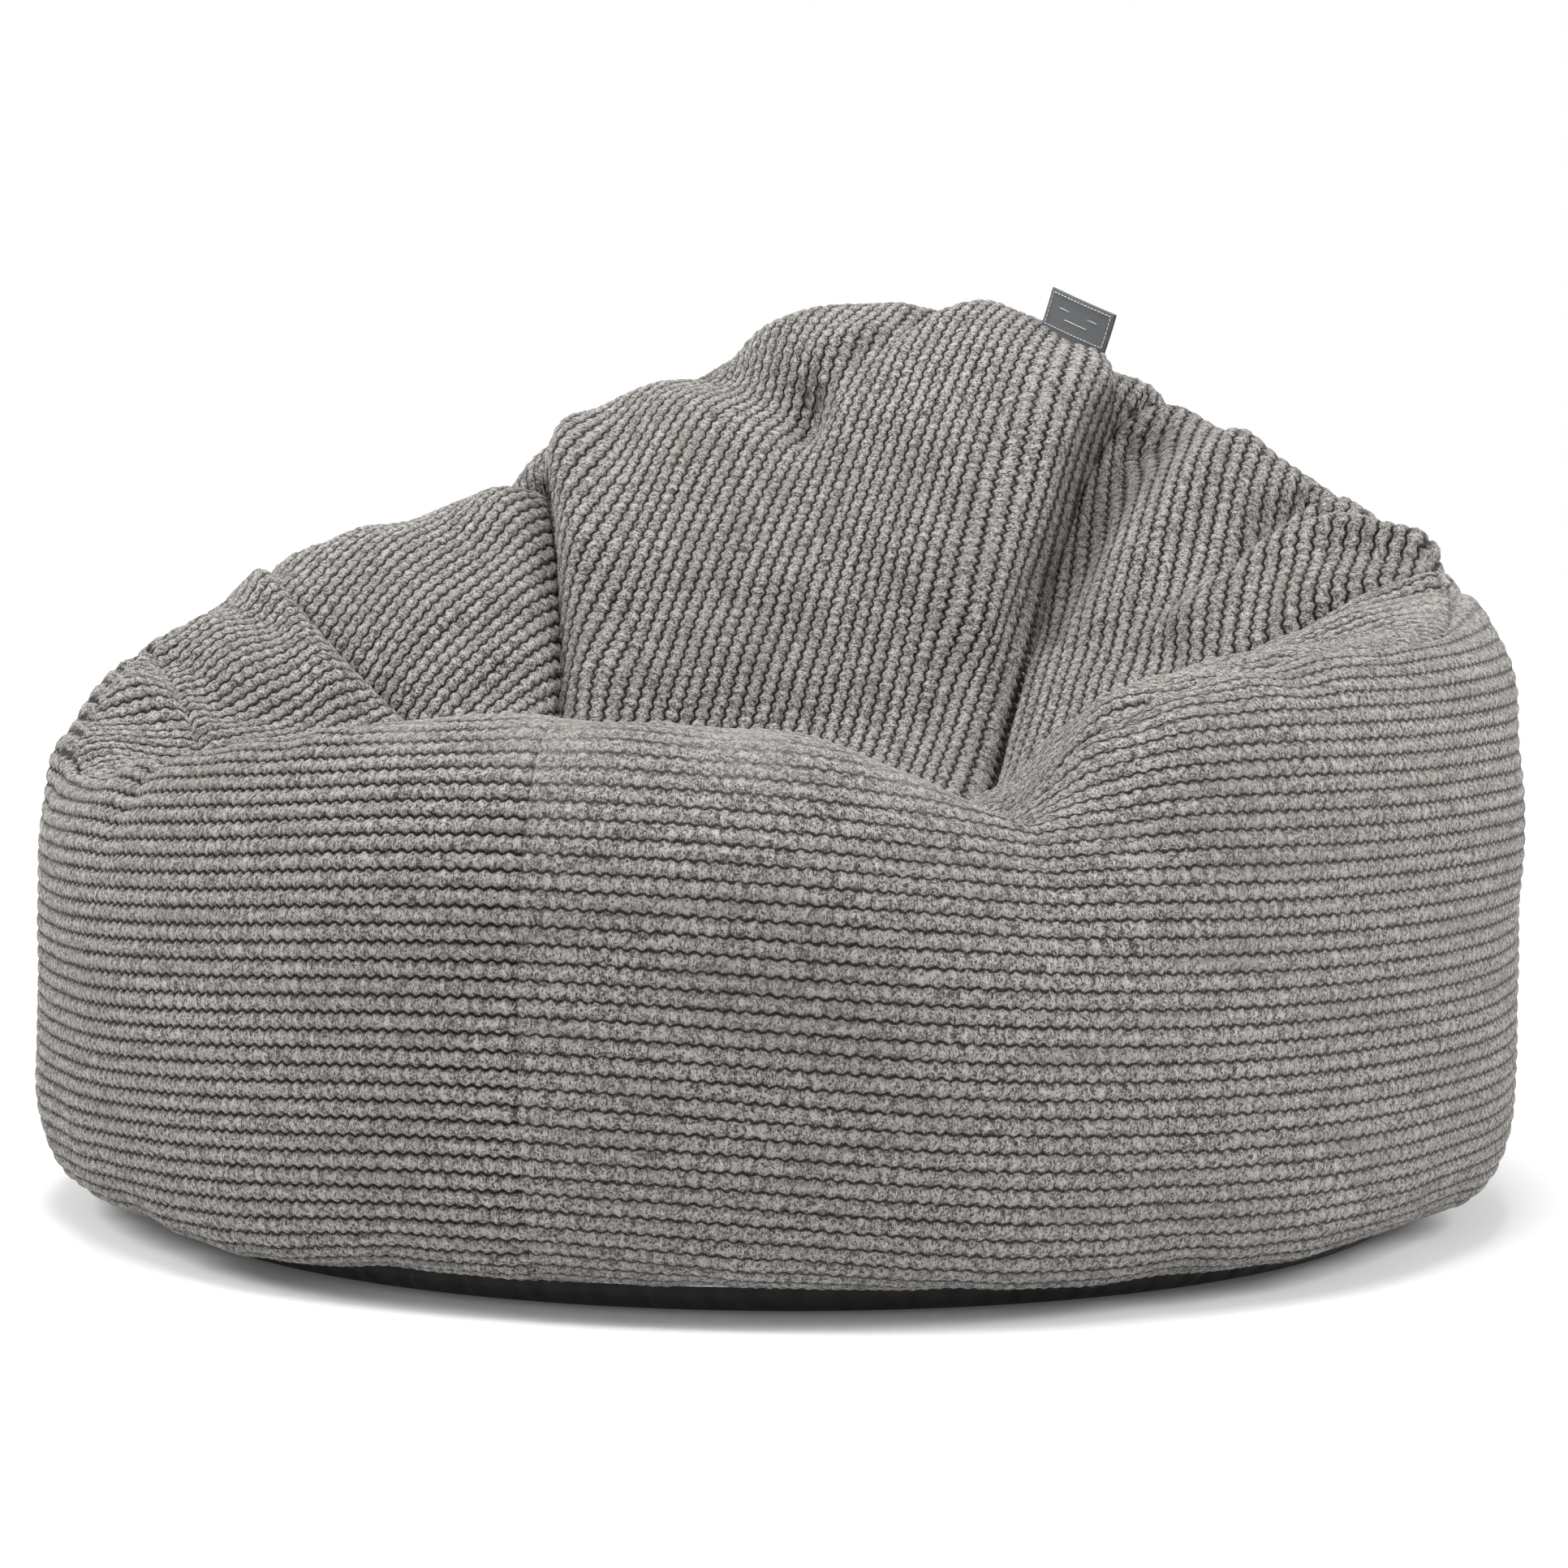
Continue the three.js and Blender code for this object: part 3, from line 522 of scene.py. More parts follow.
def finish_panel(name, base, outward, chart, tuck, distance, wale, run, crown):
    """Displaces a panel's grid along its normals, and makes the piece that stands for its node."""
    normals = grid_normals(base, outward)
    smooth = base + normals * (lumps(base) + fold_height(chart) - tuck)[..., None]
    smooth = smooth + swelling_at(chart) + overhang(chart)
    face = grid_normals(smooth, outward)
    worn = brushed(chart)
    height = crown + (BRUSHED_HEIGHT - crown) * BRUSHING * worn
    points = smooth + face * ((height - CROWN_SHARE) * WALE_HEIGHT)[..., None]
    keep = distance > -PANEL_OVERLAP
    layers = {"wale": wale, "run": run / BOBBLE, "crown": height, "worn": worn}
    piece = grid_mesh(name, points, keep, layers)
    orient_outward(piece, outward_of(points, face, keep))
    dress(piece, cord_material(), "cover_" + name)


def outward_of(points, normals, keep):
    middle = np.argwhere(keep)[keep.sum() // 2]
    return Vector(points[tuple(middle)]), Vector(normals[tuple(middle)])


def orient_outward(piece, sample):
    """Flips a panel's faces if the one nearest the sample looks away from the sample's normal."""
    spot, normal = sample
    found, _, face_normal, _ = piece.closest_point_on_mesh(spot)
    if found and face_normal.dot(normal) < 0:
        piece.data.flip_normals()


# ---------------------------------------------------------------- wall panels

# The wales of the wall ride up a little beside the front seam.
WALE_HUMP = 0.022
WALE_HUMP_SPREAD = 38
WALL_STEPS = 60
RIM_INDEX = 2 * WALL_STEPS - 1
# The cloth is turned under at the hem, and goes on over the rim for a little way.
HEM_TURN = 0.022
HEM_TURN_DROP = 0.003
OVER_RIM = np.linspace(0.002, 0.040, 20)
BELOW_HEM = 0.01
AZIMUTH_STEPS = 400
WALL_CENTRE = np.array([0, 0, 0.16])
# Depth and half width of the valleys at the wall's own seams.
TOP_PULL = (0.004, 0.010)
SIDE_PULL = (0.0025, 0.004)
HEM_PULL = (0.004, 0.010)
# How far down the wall the valleys of the top's seams fade out.
CORNER_FADE = 0.05


def wale_hump(azimuth):
    from_seam = (azimuth + 180) % 360 - 180
    return WALE_HUMP * np.exp(-((from_seam / WALE_HUMP_SPREAD) ** 2))


def wall_profiles(azimuth):
    """Plan distance and height along each azimuth's profile, and length from the hem."""
    t = np.linspace(0, 1, WALL_STEPS)
    column = azimuth[:, None]
    low_distance, low_height = lower_wall(column, t)
    turned = (low_distance[:, :1] - HEM_TURN, low_height[:, :1] - HEM_TURN_DROP)
    high_distance, high_height = upper_wall(column, t[1:])
    top_distance = rim_distance(column) - OVER_RIM
    top = top_height(polar_plan(column + 0 * OVER_RIM, top_distance))
    distance = np.concatenate([turned[0], low_distance, high_distance, top_distance], axis=1)
    height = np.concatenate([turned[1], low_height, high_height, top], axis=1)
    steps = np.hypot(np.diff(distance, axis=1), np.diff(height, axis=1))
    length = np.concatenate([np.zeros((len(azimuth), 1)), np.cumsum(steps, axis=1)], axis=1)
    length = length - length[:, 1:2]
    return distance, height, length, length[:, RIM_INDEX]


def wall_panel(name, start, end, shift, samples=(WALE_SAMPLES, BOBBLE_SAMPLES)):
    """Wall panel between two azimuths, its rows shifted by a share of a wale."""
    fine = np.linspace(start, end, AZIMUTH_STEPS)
    widest = polar_plan(fine, oval_distance(fine, DRUM_RADIUS))
    steps = np.linalg.norm(np.diff(widest, axis=0), axis=1)
    around = np.concatenate([[0], np.cumsum(steps)])
    wale_samples, bobble_samples = samples
    run = bobble_positions(-PANEL_OVERLAP, around[-1] + PANEL_OVERLAP, bobble_samples)
    slope = (end - start) / around[-1]
    azimuth = np.interp(run, around, fine)
    azimuth = np.where(run < 0, start + run * slope, azimuth)
    azimuth = np.where(run > around[-1], end + (run - around[-1]) * slope, azimuth)
    distance, height, length, rim_length = wall_profiles(azimuth)
    wale_line = wale_positions(-BELOW_HEM, length.max(), wale_samples)
    wale, run_grid = np.meshgrid(wale_line + shift, run, indexing="ij")
    side, crown = weave(wale, run_grid)
    position = (wale + side) * WALE + wale_hump(azimuth)[None, :]
    reach = np.empty(position.shape + (2,))
    for column in range(len(run)):
        reach[:, column, 0] = np.interp(position[:, column], length[column], distance[column])
        reach[:, column, 1] = np.interp(position[:, column], length[column], height[column])
    base = placed(polar_plan(azimuth[None, :] + 0 * wale, reach[..., 0]), reach[..., 1])
    to_top = rim_length[None, :] + crest_inset(azimuth)[None, :] - position
    gaps = [to_top, run_grid, around[-1] - run_grid, position]
    pulls = [TOP_PULL, SIDE_PULL, SIDE_PULL, HEM_PULL]
    tuck = np.maximum.reduce([seam_tuck(gap, *pull) for gap, pull in zip(gaps, pulls)])
    corner = corner_tuck(azimuth)[None, :] * np.exp(-np.maximum(to_top, 0) / CORNER_FADE)
    tuck = np.maximum(tuck, corner)
    edge = np.minimum.reduce(gaps)
    below_rim = rim_length[None, :] - position
    chart = polar_plan(azimuth[None, :] + 0 * wale, rim_distance(azimuth)[None, :] + below_rim)
    finish_panel(name, base, base - WALL_CENTRE, chart, tuck, edge, wale, run_grid, crown)


# How the seams of the top pull the fabric in: depth, then half width on the side of the lower
# azimuth and on the other side. The same valleys run over the rim and fade out down the wall.
SEAM_PULL = {
    FRONT_RIGHT: (0.016, 0.022, 0.026),
    SIDE_RIGHT: (0.016, 0.018, 0.012),
    BACK_RIGHT: (0.040, 0.036, 0.020),
    BACK_LEFT: (0.036, 0.020, 0.020),
    SIDE_LEFT: (0.024, 0.026, 0.011),
    ARM_BACK: (0.009, 0.009, 0.016),
    FRONT_LEFT: (0.012, 0.014, 0.022),
}
LEFT_DIVIDE = quadratic_through(
    edge_plan(SIDE_LEFT), DIVIDE_MIDDLE, left_seam(0.5), np.linspace(0, 1, 24)
)
RIGHT_DIVIDE = straight(right_seam(0.5), edge_plan(SIDE_RIGHT))
ALONG_SEAM = np.linspace(0, 1, 24)
TOP_SEAMS = {
    FRONT_RIGHT: right_seam(ALONG_SEAM),
    SIDE_RIGHT: RIGHT_DIVIDE,
    BACK_RIGHT: right_seam(ALONG_SEAM),
    BACK_LEFT: left_seam(ALONG_SEAM),
    SIDE_LEFT: LEFT_DIVIDE,
    ARM_BACK: arm_seam(ALONG_SEAM),
    FRONT_LEFT: left_seam(ALONG_SEAM),
}


# Beyond this many degrees from its end, a seam's valley is left out of the wall.
SEAM_SPREAD = 40


def corner_tuck(azimuth):
    """How deep the seams of the top pull the wall's upper edge in, round the azimuth."""
    total = 0
    edge = edge_plan(azimuth)
    for at, (depth, before, after) in SEAM_PULL.items():
        turn = np.mod(azimuth - at + 180, 360) - 180
        beyond = np.maximum(np.abs(turn) - SEAM_SPREAD, 0)
        gap = distance_to_line(edge, TOP_SEAMS[at]) + 2 * beyond
        total = np.maximum(total, depth * roll_to_seam(gap, np.where(turn < 0, before, after)))
    return total


# ---------------------------------------------------------------- top panels

RIM_POINTS = 40
RIM_PULL = (0.006, 0.012)
SEAM_POINTS = 30
SLOPE_STEPS = 320
# How far a panel's grid goes past its outline, and past its sides where its wales lean.
GRID_MARGIN = 0.012
LEAN_ROOM = 0.16
UPWARD = np.array([0.0, 0.0, 1.0])


def distance_to_line(points, line):
    """Shortest plan distance from each point to a polyline."""
    best = np.full(points.shape[:-1], np.inf)
    for a, b in zip(line[:-1], line[1:]):
        along = b - a
        t = np.clip((points - a) @ along / max(along @ along, 1e-12), 0, 1)
        gap = points - a - t[..., None] * along
        best = np.minimum(best, np.hypot(gap[..., 0], gap[..., 1]))
    return best


def inside_outline(points, outline):
    x, y = points[..., 0], points[..., 1]
    inside = np.zeros(x.shape, bool)
    for a, b in zip(outline, np.roll(outline, -1, axis=0)):
        crosses = (a[1] > y) != (b[1] > y)
        rise = b[1] - a[1]
        at = a[0] + (y - a[1]) * (b[0] - a[0]) / (rise if abs(rise) > 1e-12 else 1e-12)
        inside ^= crosses & (x < at)
    return inside


def panel_grid(outline, up, anchor, wales, lean):
    """Plan places of a panel's grid over its slope, with their wale, run and crown."""
    level = np.array([-up[1], up[0]])
    reach_up = (outline - anchor) @ up
    reach_level = (outline - anchor) @ level
    bottom, summit = reach_up.min() - GRID_MARGIN, reach_up.max() + GRID_MARGIN
    plain = np.linspace(bottom, summit, SLOPE_STEPS)
    side_margin = LEAN_ROOM if lean else GRID_MARGIN
    sides = (reach_level.min() - side_margin, reach_level.max() + side_margin)
    if wales == "up":
        wale_line = wale_positions(*sides)
        column_at = wale_line * WALE
    else:
        column_at = bobble_positions(*sides)
    lines = anchor + plain[:, None, None] * up + column_at[None, :, None] * level
    heights = top_height(lines)
    steps = np.hypot(np.diff(plain)[:, None], np.diff(heights, axis=0))
    length = np.concatenate([np.zeros((1, len(column_at))), np.cumsum(steps, axis=0)])
    zero = np.argmin(np.abs(plain))
    length = length - length[zero]
    low, high = length.min(), length.max()
    if wales == "up":
        run_line = bobble_positions(low, high)
        wale, run = np.meshgrid(wale_line, run_line, indexing="xy")
        side, crown = weave(wale, run)
        level_at = (wale + side) * WALE
        if lean:
            level_at = level_at + lean(run, wale * WALE)
        slope_at = run
    else:
        wale_line = wale_positions(low, high)
        wale, run = np.meshgrid(wale_line, column_at, indexing="ij")
        side, crown = weave(wale, run)
        level_at = run
        slope_at = (wale + side) * WALE
    up_at = np.empty(slope_at.shape)
    for column in range(len(column_at)):
        up_at[:, column] = np.interp(slope_at[:, column], length[:, column], plain)
    plan = anchor + up_at[..., None] * up + level_at[..., None] * level
    return plan, wale, run, crown


def panel_tuck(plan, outline, edges):
    """Depth of the valleys beside a panel's edges, and distance from the outline, inside it."""
    distances = [distance_to_line(plan, line) for line, _, _ in edges]
    nearest = np.argmin(distances, axis=0)
    inside = inside_outline(plan, outline)
    tuck = np.zeros(plan.shape[:-1])
    for number, (_, depth, width) in enumerate(edges):
        signed = np.where(~inside & (nearest == number), -distances[number], distances[number])
        tuck = np.maximum(tuck, seam_tuck(signed, depth, width))
    return tuck, np.where(inside, 1, -1) * np.min(distances, axis=0)


def top_panel(name, edges, up_azimuth, wales, anchor, lean=None):
    """Panel of the top: a grid along and across the slope, cut to the outline of its edges.

    edges are (polyline, tuck depth, tuck width); wales run "up" the slope or "across" it. lean gives
    how far wales that run up the slope move sideways, from their length up it and their place.
    """
    outline = np.concatenate([edge[0] for edge in edges])
    angle = math.radians(up_azimuth)
    up = np.array([math.sin(angle), -math.cos(angle)])
    plan, wale, run, crown = panel_grid(outline, up, np.asarray(anchor), wales, lean)
    base = placed(plan, top_height(plan))
    tuck, edge = panel_tuck(plan, outline, edges)
    finish_panel(name, base, UPWARD, unrolled(plan), tuck, edge, wale, run, crown)


def rim_edge(start, end):
    return edge_plan(np.linspace(start, end, RIM_POINTS)), *RIM_PULL


def seam_edge(seam, start, end, depth, width):
    return seam(np.linspace(start, end, SEAM_POINTS)), depth, width


# ---------------------------------------------------------------- shape of the whole skin

SKIN_COLUMNS = 240
SKIN_TOP_ROWS = 70
SKIN_INNERMOST = 0.01
# A seam that pulls this deep counts as a full one, where the inner skins keep further off.
FULL_PULL = 0.024
EXTRA_AT_SEAMS = 0.028


def inner_skin(below):
    """A skin that follows the cover's shape at a depth below it, with rows from the hem to the seat.

    Gives its points, their places in the chart, the seams' pull there, and the row that is the rim.
    """
    azimuth = np.linspace(0, 360, SKIN_COLUMNS + 1)
    distance, height, length, rim_length = wall_profiles(azimuth)
    on_wall = slice(1, RIM_INDEX)
    wall = placed(polar_plan(azimuth[:, None], distance[:, on_wall]), height[:, on_wall])
    under_rim = rim_length[:, None] - length[:, on_wall]
    wall_chart = polar_plan(azimuth[:, None], rim_distance(azimuth)[:, None] + under_rim)
    share = np.linspace(1, SKIN_INNERMOST, SKIN_TOP_ROWS)
    top_plan = polar_plan(azimuth[:, None], rim_distance(azimuth)[:, None] * share)
    top = placed(top_plan, top_height(top_plan))
    top_tuck = np.zeros(top_plan.shape[:-1])
    for at, (depth, before, after) in SEAM_PULL.items():
        gap = distance_to_line(top_plan, TOP_SEAMS[at])
        top_tuck = np.maximum(top_tuck, depth * roll_to_seam(gap, max(before, after)))
    corner = corner_tuck(azimuth)[:, None]
    wall_tuck = corner * np.exp(-under_rim / CORNER_FADE)
    points = np.concatenate([wall, top], axis=1)
    chart = np.concatenate([wall_chart, top_plan], axis=1)
    tuck = np.concatenate([wall_tuck, top_tuck], axis=1)
    spare = EXTRA_AT_SEAMS * np.minimum(tuck / FULL_PULL, 1) if below else 0
    outward = np.concatenate([wall - np.array([*DRUM_AXIS, WIDEST_HEIGHT]), 0 * top], axis=1)
    rim_row = wall.shape[1]
    outward[:, rim_row:, 2] = 1
    normals = grid_normals(points, outward)
    rise = lumps(points) + fold_height(chart) - tuck - spare - below
    points = points + normals * rise[..., None] + overhang(chart)
    return np.swapaxes(points, 0, 1), np.swapaxes(chart, 0, 1), tuck.T, rim_row


# The swelling is solved on a coarser skin: pressure from the beads, while the seams shrink.
SWELL_FRAMES = 16
SWELL_PRESSURE = 4.0
SWELL_CAP = 0.007
SEAM_SHRINK = 0.12
# How firmly the cloth is held in place, how much more at the seams, and the rows fixed at the hem.
HOLD = 0.12
HOLD_AT_SEAMS = 0.3
FIXED_ROWS = 4
CHART_HALF = 0.95
CHART_CELLS = 380
# Rounds of softening for the movement itself, and for the broad part that is taken out of it.
NEAR_BLUR = 5
SWELL_BLUR = 320
KEEP_SHAPE = 0.85
TINY = 1e-9
swelling = {}


def swelling_object(skin):
    """The skin, closed by a fan of faces inside the hem and one at the middle of the seat."""
    rows, columns = skin.shape[0], skin.shape[1] - 1
    index = np.arange(rows * columns).reshape(rows, columns)
    right = np.roll(index, -1, axis=1)
    faces = np.stack([index[:-1], right[:-1], right[1:], index[1:]], axis=-1).reshape(-1, 4)
    floor_centre, seat_centre = rows * columns, rows * columns + 1
    ends = np.array([skin[0].mean(axis=0), skin[-1].mean(axis=0)])
    fans = [(int(b), int(a), floor_centre) for a, b in zip(index[0], right[0])]
    fans += [(int(a), int(b), seat_centre) for a, b in zip(index[-1], right[-1])]
    mesh = bpy.data.meshes.new("swelling")
    vertices = np.concatenate([skin[:, :columns].reshape(-1, 3), ends])
    mesh.from_pydata(vertices.tolist(), [], faces.tolist() + fans)
    mesh.update()
    cover = new_object("swelling", mesh)
    weld(cover)
    return cover


def hold_and_shrink(cover, pull):
    """Vertex groups for how firmly each point is held and how much the seams shrink there."""
    columns = pull.shape[1] - 1
    held = cover.vertex_groups.new(name="held")
    seams = cover.vertex_groups.new(name="seams")
    amounts = (pull[:, :columns].ravel() / FULL_PULL).tolist()
    for number, amount in enumerate(amounts):
        on_hem = number < FIXED_ROWS * columns
        held.add([number], 1.0 if on_hem else HOLD + HOLD_AT_SEAMS * amount, "REPLACE")
        seams.add([number], min(amount, 1.0), "REPLACE")
    floor_centre, seat_centre = len(amounts), len(amounts) + 1
    held.add([floor_centre], 1.0, "REPLACE")
    held.add([seat_centre], HOLD, "REPLACE")


def add_cloth(cover):
    cloth = cover.modifiers.new("cloth", "CLOTH")
    settings = cloth.settings
    settings.quality = 5
    settings.mass = 0.3
    settings.tension_stiffness = settings.compression_stiffness = 20
    settings.shear_stiffness = 8
    settings.bending_stiffness = 0.3
    settings.use_pressure = True
    settings.uniform_pressure_force = SWELL_PRESSURE
    settings.vertex_group_mass = "held"
    settings.pin_stiffness = 1.0
    settings.vertex_group_shrink = "seams"
    settings.shrink_min = 0.0
    settings.shrink_max = SEAM_SHRINK
    settings.effector_weights.gravity = 0
    cloth.point_cache.frame_start = 1
    cloth.point_cache.frame_end = SWELL_FRAMES


def swell_cover():
    """Cloth simulation of the whole cover. Its movement is kept as a grid over the chart."""
    skin, chart, pull, _ = inner_skin(0.0)
    cover = swelling_object(skin)
    hold_and_shrink(cover, pull)
    add_cloth(cover)
    scene = bpy.context.scene
    for number in range(1, SWELL_FRAMES + 1):
        scene.frame_set(number)
    settled = np.empty(3 * len(cover.data.vertices), np.float32)
    evaluated = cover.evaluated_get(bpy.context.evaluated_depsgraph_get())
    evaluated.data.vertices.foreach_get("co", settled)
    points = skin[:, :-1].reshape(-1, 3)
    moved = settled.reshape(-1, 3)[: len(points)] - points
    bpy.data.objects.remove(cover)
    scene.frame_set(1)
    length = np.linalg.norm(moved, axis=-1, keepdims=True)
    moved = moved * (np.minimum(length, SWELL_CAP) / np.maximum(length, TINY))
    spread_over_chart(chart[:, :-1].reshape(-1, 2), moved)


def spread_over_chart(places, moved):
    """Averages the movement of scattered places onto a regular grid of the chart, and fills gaps."""
    cell = np.clip((places / CHART_HALF + 1) / 2 * CHART_CELLS, 0, CHART_CELLS - 1).astype(int)
    total = np.zeros((CHART_CELLS, CHART_CELLS, 3))
    count = np.zeros((CHART_CELLS, CHART_CELLS, 1))
    np.add.at(total, (cell[:, 0], cell[:, 1]), moved)
    np.add.at(count, (cell[:, 0], cell[:, 1]), 1)
    total, count = soften(total, NEAR_BLUR), soften(count, NEAR_BLUR)
    near = total / np.maximum(count, TINY)
    broad = soften(near * count, SWELL_BLUR) / np.maximum(soften(count, SWELL_BLUR), TINY)
    swelling["grid"] = near * (count > TINY) - KEEP_SHAPE * broad


def soften(grid, rounds):
    for _ in range(rounds):
        for axis in (0, 1):
            grid = (np.roll(grid, 1, axis) + 2 * grid + np.roll(grid, -1, axis)) / 4
    return grid


def swelling_at(chart):
    """Movement of the cover at points of the chart, between the cells of its grid."""
    if not swelling:
        return np.zeros(chart.shape[:-1] + (3,))
    spot = np.clip((chart / CHART_HALF + 1) / 2 * CHART_CELLS - 0.5, 0, CHART_CELLS - 1.001)
    low = np.floor(spot).astype(int)
    part = spot - low
    part = part * part * (3 - 2 * part)
    a, b = low[..., 0], low[..., 1]
    u, v = part[..., 0:1], part[..., 1:2]
    grid = swelling["grid"]
    near = grid[a, b] * (1 - v) + grid[a, b + 1] * v
    far = grid[a + 1, b] * (1 - v) + grid[a + 1, b + 1] * v
    return near * (1 - u) + far * u


WELD_DISTANCE = 1e-5


def weld(piece, distance=None):
    """Turns a mesh's faces outward, after merging the points closer than the distance, if any."""
    work = bmesh.new()
    work.from_mesh(piece.data)
    if distance:
        bmesh.ops.remove_doubles(work, verts=work.verts, dist=distance)
    bmesh.ops.recalc_face_normals(work, faces=work.faces)
    work.to_mesh(piece.data)
    work.free()


# ---------------------------------------------------------------- materials

materials = {}


def material(name, build):
    if name not in materials:
        made = bpy.data.materials.new(name)
        made.use_nodes = True
        build(Nodes(made.node_tree))
        materials[name] = made
    return materials[name]


class Nodes:
    """Short calls for making shader nodes. An input may be a value or another node's socket."""

    def __init__(self, tree):
        self.tree = tree
        tree.nodes.clear()

    def place(self):
        return self.add("TexCoord").outputs["Object"]

    def add(self, kind, inputs=None, **settings):
        node = self.tree.nodes.new("ShaderNode" + kind)
        for key, value in settings.items():
            setattr(node, key, value)
        for key, value in (inputs or {}).items():
            self.connect(node.inputs[key], value)
        return node

    def connect(self, socket, value):
        if isinstance(value, bpy.types.NodeSocket):
            self.tree.links.new(value, socket)
        else:
            socket.default_value = value

    def attribute(self, name):
        return self.add("Attribute", attribute_name=name).outputs["Fac"]

    def maths(self, operation, *values):
        return self.add("Math", dict(enumerate(values)), operation=operation).outputs[0]

    def remap(self, value, low, high, to_low=0.0, to_high=1.0):
        numbers = {"Value": value, "From Min": low, "From Max": high}
        numbers.update({"To Min": to_low, "To Max": to_high})
        return self.add("MapRange", numbers).outputs["Result"]

    def noise(self, vector, scale, detail=2.0, distortion=0.0):
        numbers = {"Vector": vector, "Scale": scale, "Detail": detail, "Distortion": distortion}
        return self.add("TexNoise", numbers).outputs["Fac"]

    def mix(self, share, first, second, blend="MIX"):
        node = self.add("Mix", data_type="RGBA", blend_type=blend)
        self.connect(node.inputs[0], share)
        self.connect(node.inputs[6], first)
        self.connect(node.inputs[7], second)
        return node.outputs[2]

    def bump(self, height, distance, strength=1.0, normal=None):
        numbers = {"Height": height, "Distance": distance, "Strength": strength}
        if normal is not None:
            numbers["Normal"] = normal
        return self.add("Bump", numbers).outputs["Normal"]

    def surface(self, **inputs):
        shader = self.add("BsdfPrincipled", {key.replace("_", " "): v for key, v in inputs.items()})
        output = self.add("OutputMaterial")
        self.tree.links.new(shader.outputs[0], output.inputs["Surface"])


def cord_fuzz(n, place, wale, run):
    """The pile's fine pattern of strands, fibres and tufts, and its tufts alone."""
    across = n.maths("MULTIPLY", wale, 3.0)
    thread = n.add("CombineXYZ", {"X": across, "Y": n.maths("MULTIPLY", run, 8.0)}).outputs[0]
    strands = n.noise(thread, 1.0, 3.0, 1.6)
    fibres = n.noise(place, 520.0, 2.0, 1.2)
    tufts = n.noise(place, 250.0, 2.0, 0.8)
    fuzz = n.maths("ADD", n.maths("MULTIPLY", strands, 0.35), n.maths("MULTIPLY", fibres, 0.40))
    return n.maths("ADD", fuzz, n.maths("MULTIPLY", tufts, 0.25)), tufts


def cord_material():
    def build(n):
        place = n.place()
        wale = n.attribute("wale")
        run = n.attribute("run")
        crown = n.attribute("crown")
        worn = n.attribute("worn")
        # Painted shade: the grooves between the wales are painted near black, with ragged edges;
        # brushed spots stay clear of it.
        beside = n.maths("PINGPONG", wale, 0.5)
        ragged = n.remap(n.noise(place, 330.0, 2.0), 0.3, 0.7, -0.05, 0.05)
        off_groove = n.remap(n.maths("ADD", beside, ragged), 0.045, 0.135)
        clear_of_groove_shade = n.maths("MAXIMUM", off_groove, n.maths("MULTIPLY", worn, 0.85))
        fuzz, tufts = cord_fuzz(n, place, wale, run)
        along = n.add("CombineXYZ", {"X": wale, "Y": n.maths("MULTIPLY", run, 0.16)}).outputs[0]
        streaks = n.noise(along, 0.55, 3.0)
        patches = n.noise(place, 9.0, 3.0)
        light = (0.510, 0.490, 0.464, 1)
        shade = (0.040, 0.037, 0.034, 1)
        warm = (0.215, 0.172, 0.145, 1)
        dull = (0.150, 0.142, 0.133, 1)
        # Painted shade on the low flanks of each wale, next to the grooves.
        flank_shade = (0.040, 0.036, 0.032, 1)
        rubbed = (0.46, 0.445, 0.425, 1)
        # Painted shade colour for the grooves between the wales.
        groove = (0.008, 0.007, 0.007, 1)
        pile = n.mix(n.remap(fuzz, 0.435, 0.55), shade, light)
        pile = n.mix(n.remap(streaks, 0.50, 0.72, 0.0, 0.34), pile, warm)
        pile = n.mix(n.remap(patches, 0.35, 0.70, 0.0, 0.24), pile, dull)
        # Painted shade: where the crown is low, the pile is darkened towards the flank shade.
        low = n.mix(0.62, pile, flank_shade)
        pile = n.mix(n.remap(crown, 0.30, 0.95), low, pile)
        pile = n.mix(n.maths("MULTIPLY", worn, 0.20), pile, rubbed)
        colour = n.mix(clear_of_groove_shade, groove, pile)
        raised = n.maths("ADD", n.maths("MULTIPLY", tufts, 0.6), fuzz)
        normal = n.bump(raised, 0.0045, 1.0)
        n.surface(
            Base_Color=colour,
            Roughness=0.95,
            Normal=normal,
            Sheen_Weight=0.20,
            Sheen_Roughness=0.5,
            Sheen_Tint=(0.95, 0.93, 0.9, 1),
            Specular_IOR_Level=0.12,
        )

    return material("cord", build)


def plain_cloth(name, dark, light, scale, roughness, bump):
    """Plain woven cloth with crossing threads, in shades between two greys given as (r, g, b)."""

    def build(n):
        place = n.place()
        parts = n.add("SeparateXYZ", {"Vector": place}).outputs
        warp = n.maths("SINE", n.maths("MULTIPLY", n.maths("ADD", parts["X"], parts["Z"]), scale))
        weft = n.maths("SINE", n.maths("MULTIPLY", n.maths("ADD", parts["Y"], parts["Z"]), scale))
        threads = n.remap(n.maths("MULTIPLY", warp, weft), -1.0, 1.0)
        cloud = n.noise(place, 14.0, 3.0)
        colour = n.mix(n.remap(cloud, 0.3, 0.7, 0.0, 0.6), (*dark, 1), (*light, 1))
        colour = n.mix(n.maths("MULTIPLY", threads, 0.25), colour, (*light, 1))
        normal = n.bump(n.maths("ADD", threads, n.noise(place, 60.0, 2.0)), bump)
        n.surface(Base_Color=colour, Roughness=roughness, Normal=normal)

    return material(name, build)


def nylon_material():
    dark, light = (0.010, 0.010, 0.011), (0.022, 0.022, 0.024)
    return plain_cloth("nylon", dark, light, scale=5200.0, roughness=0.42, bump=0.0004)


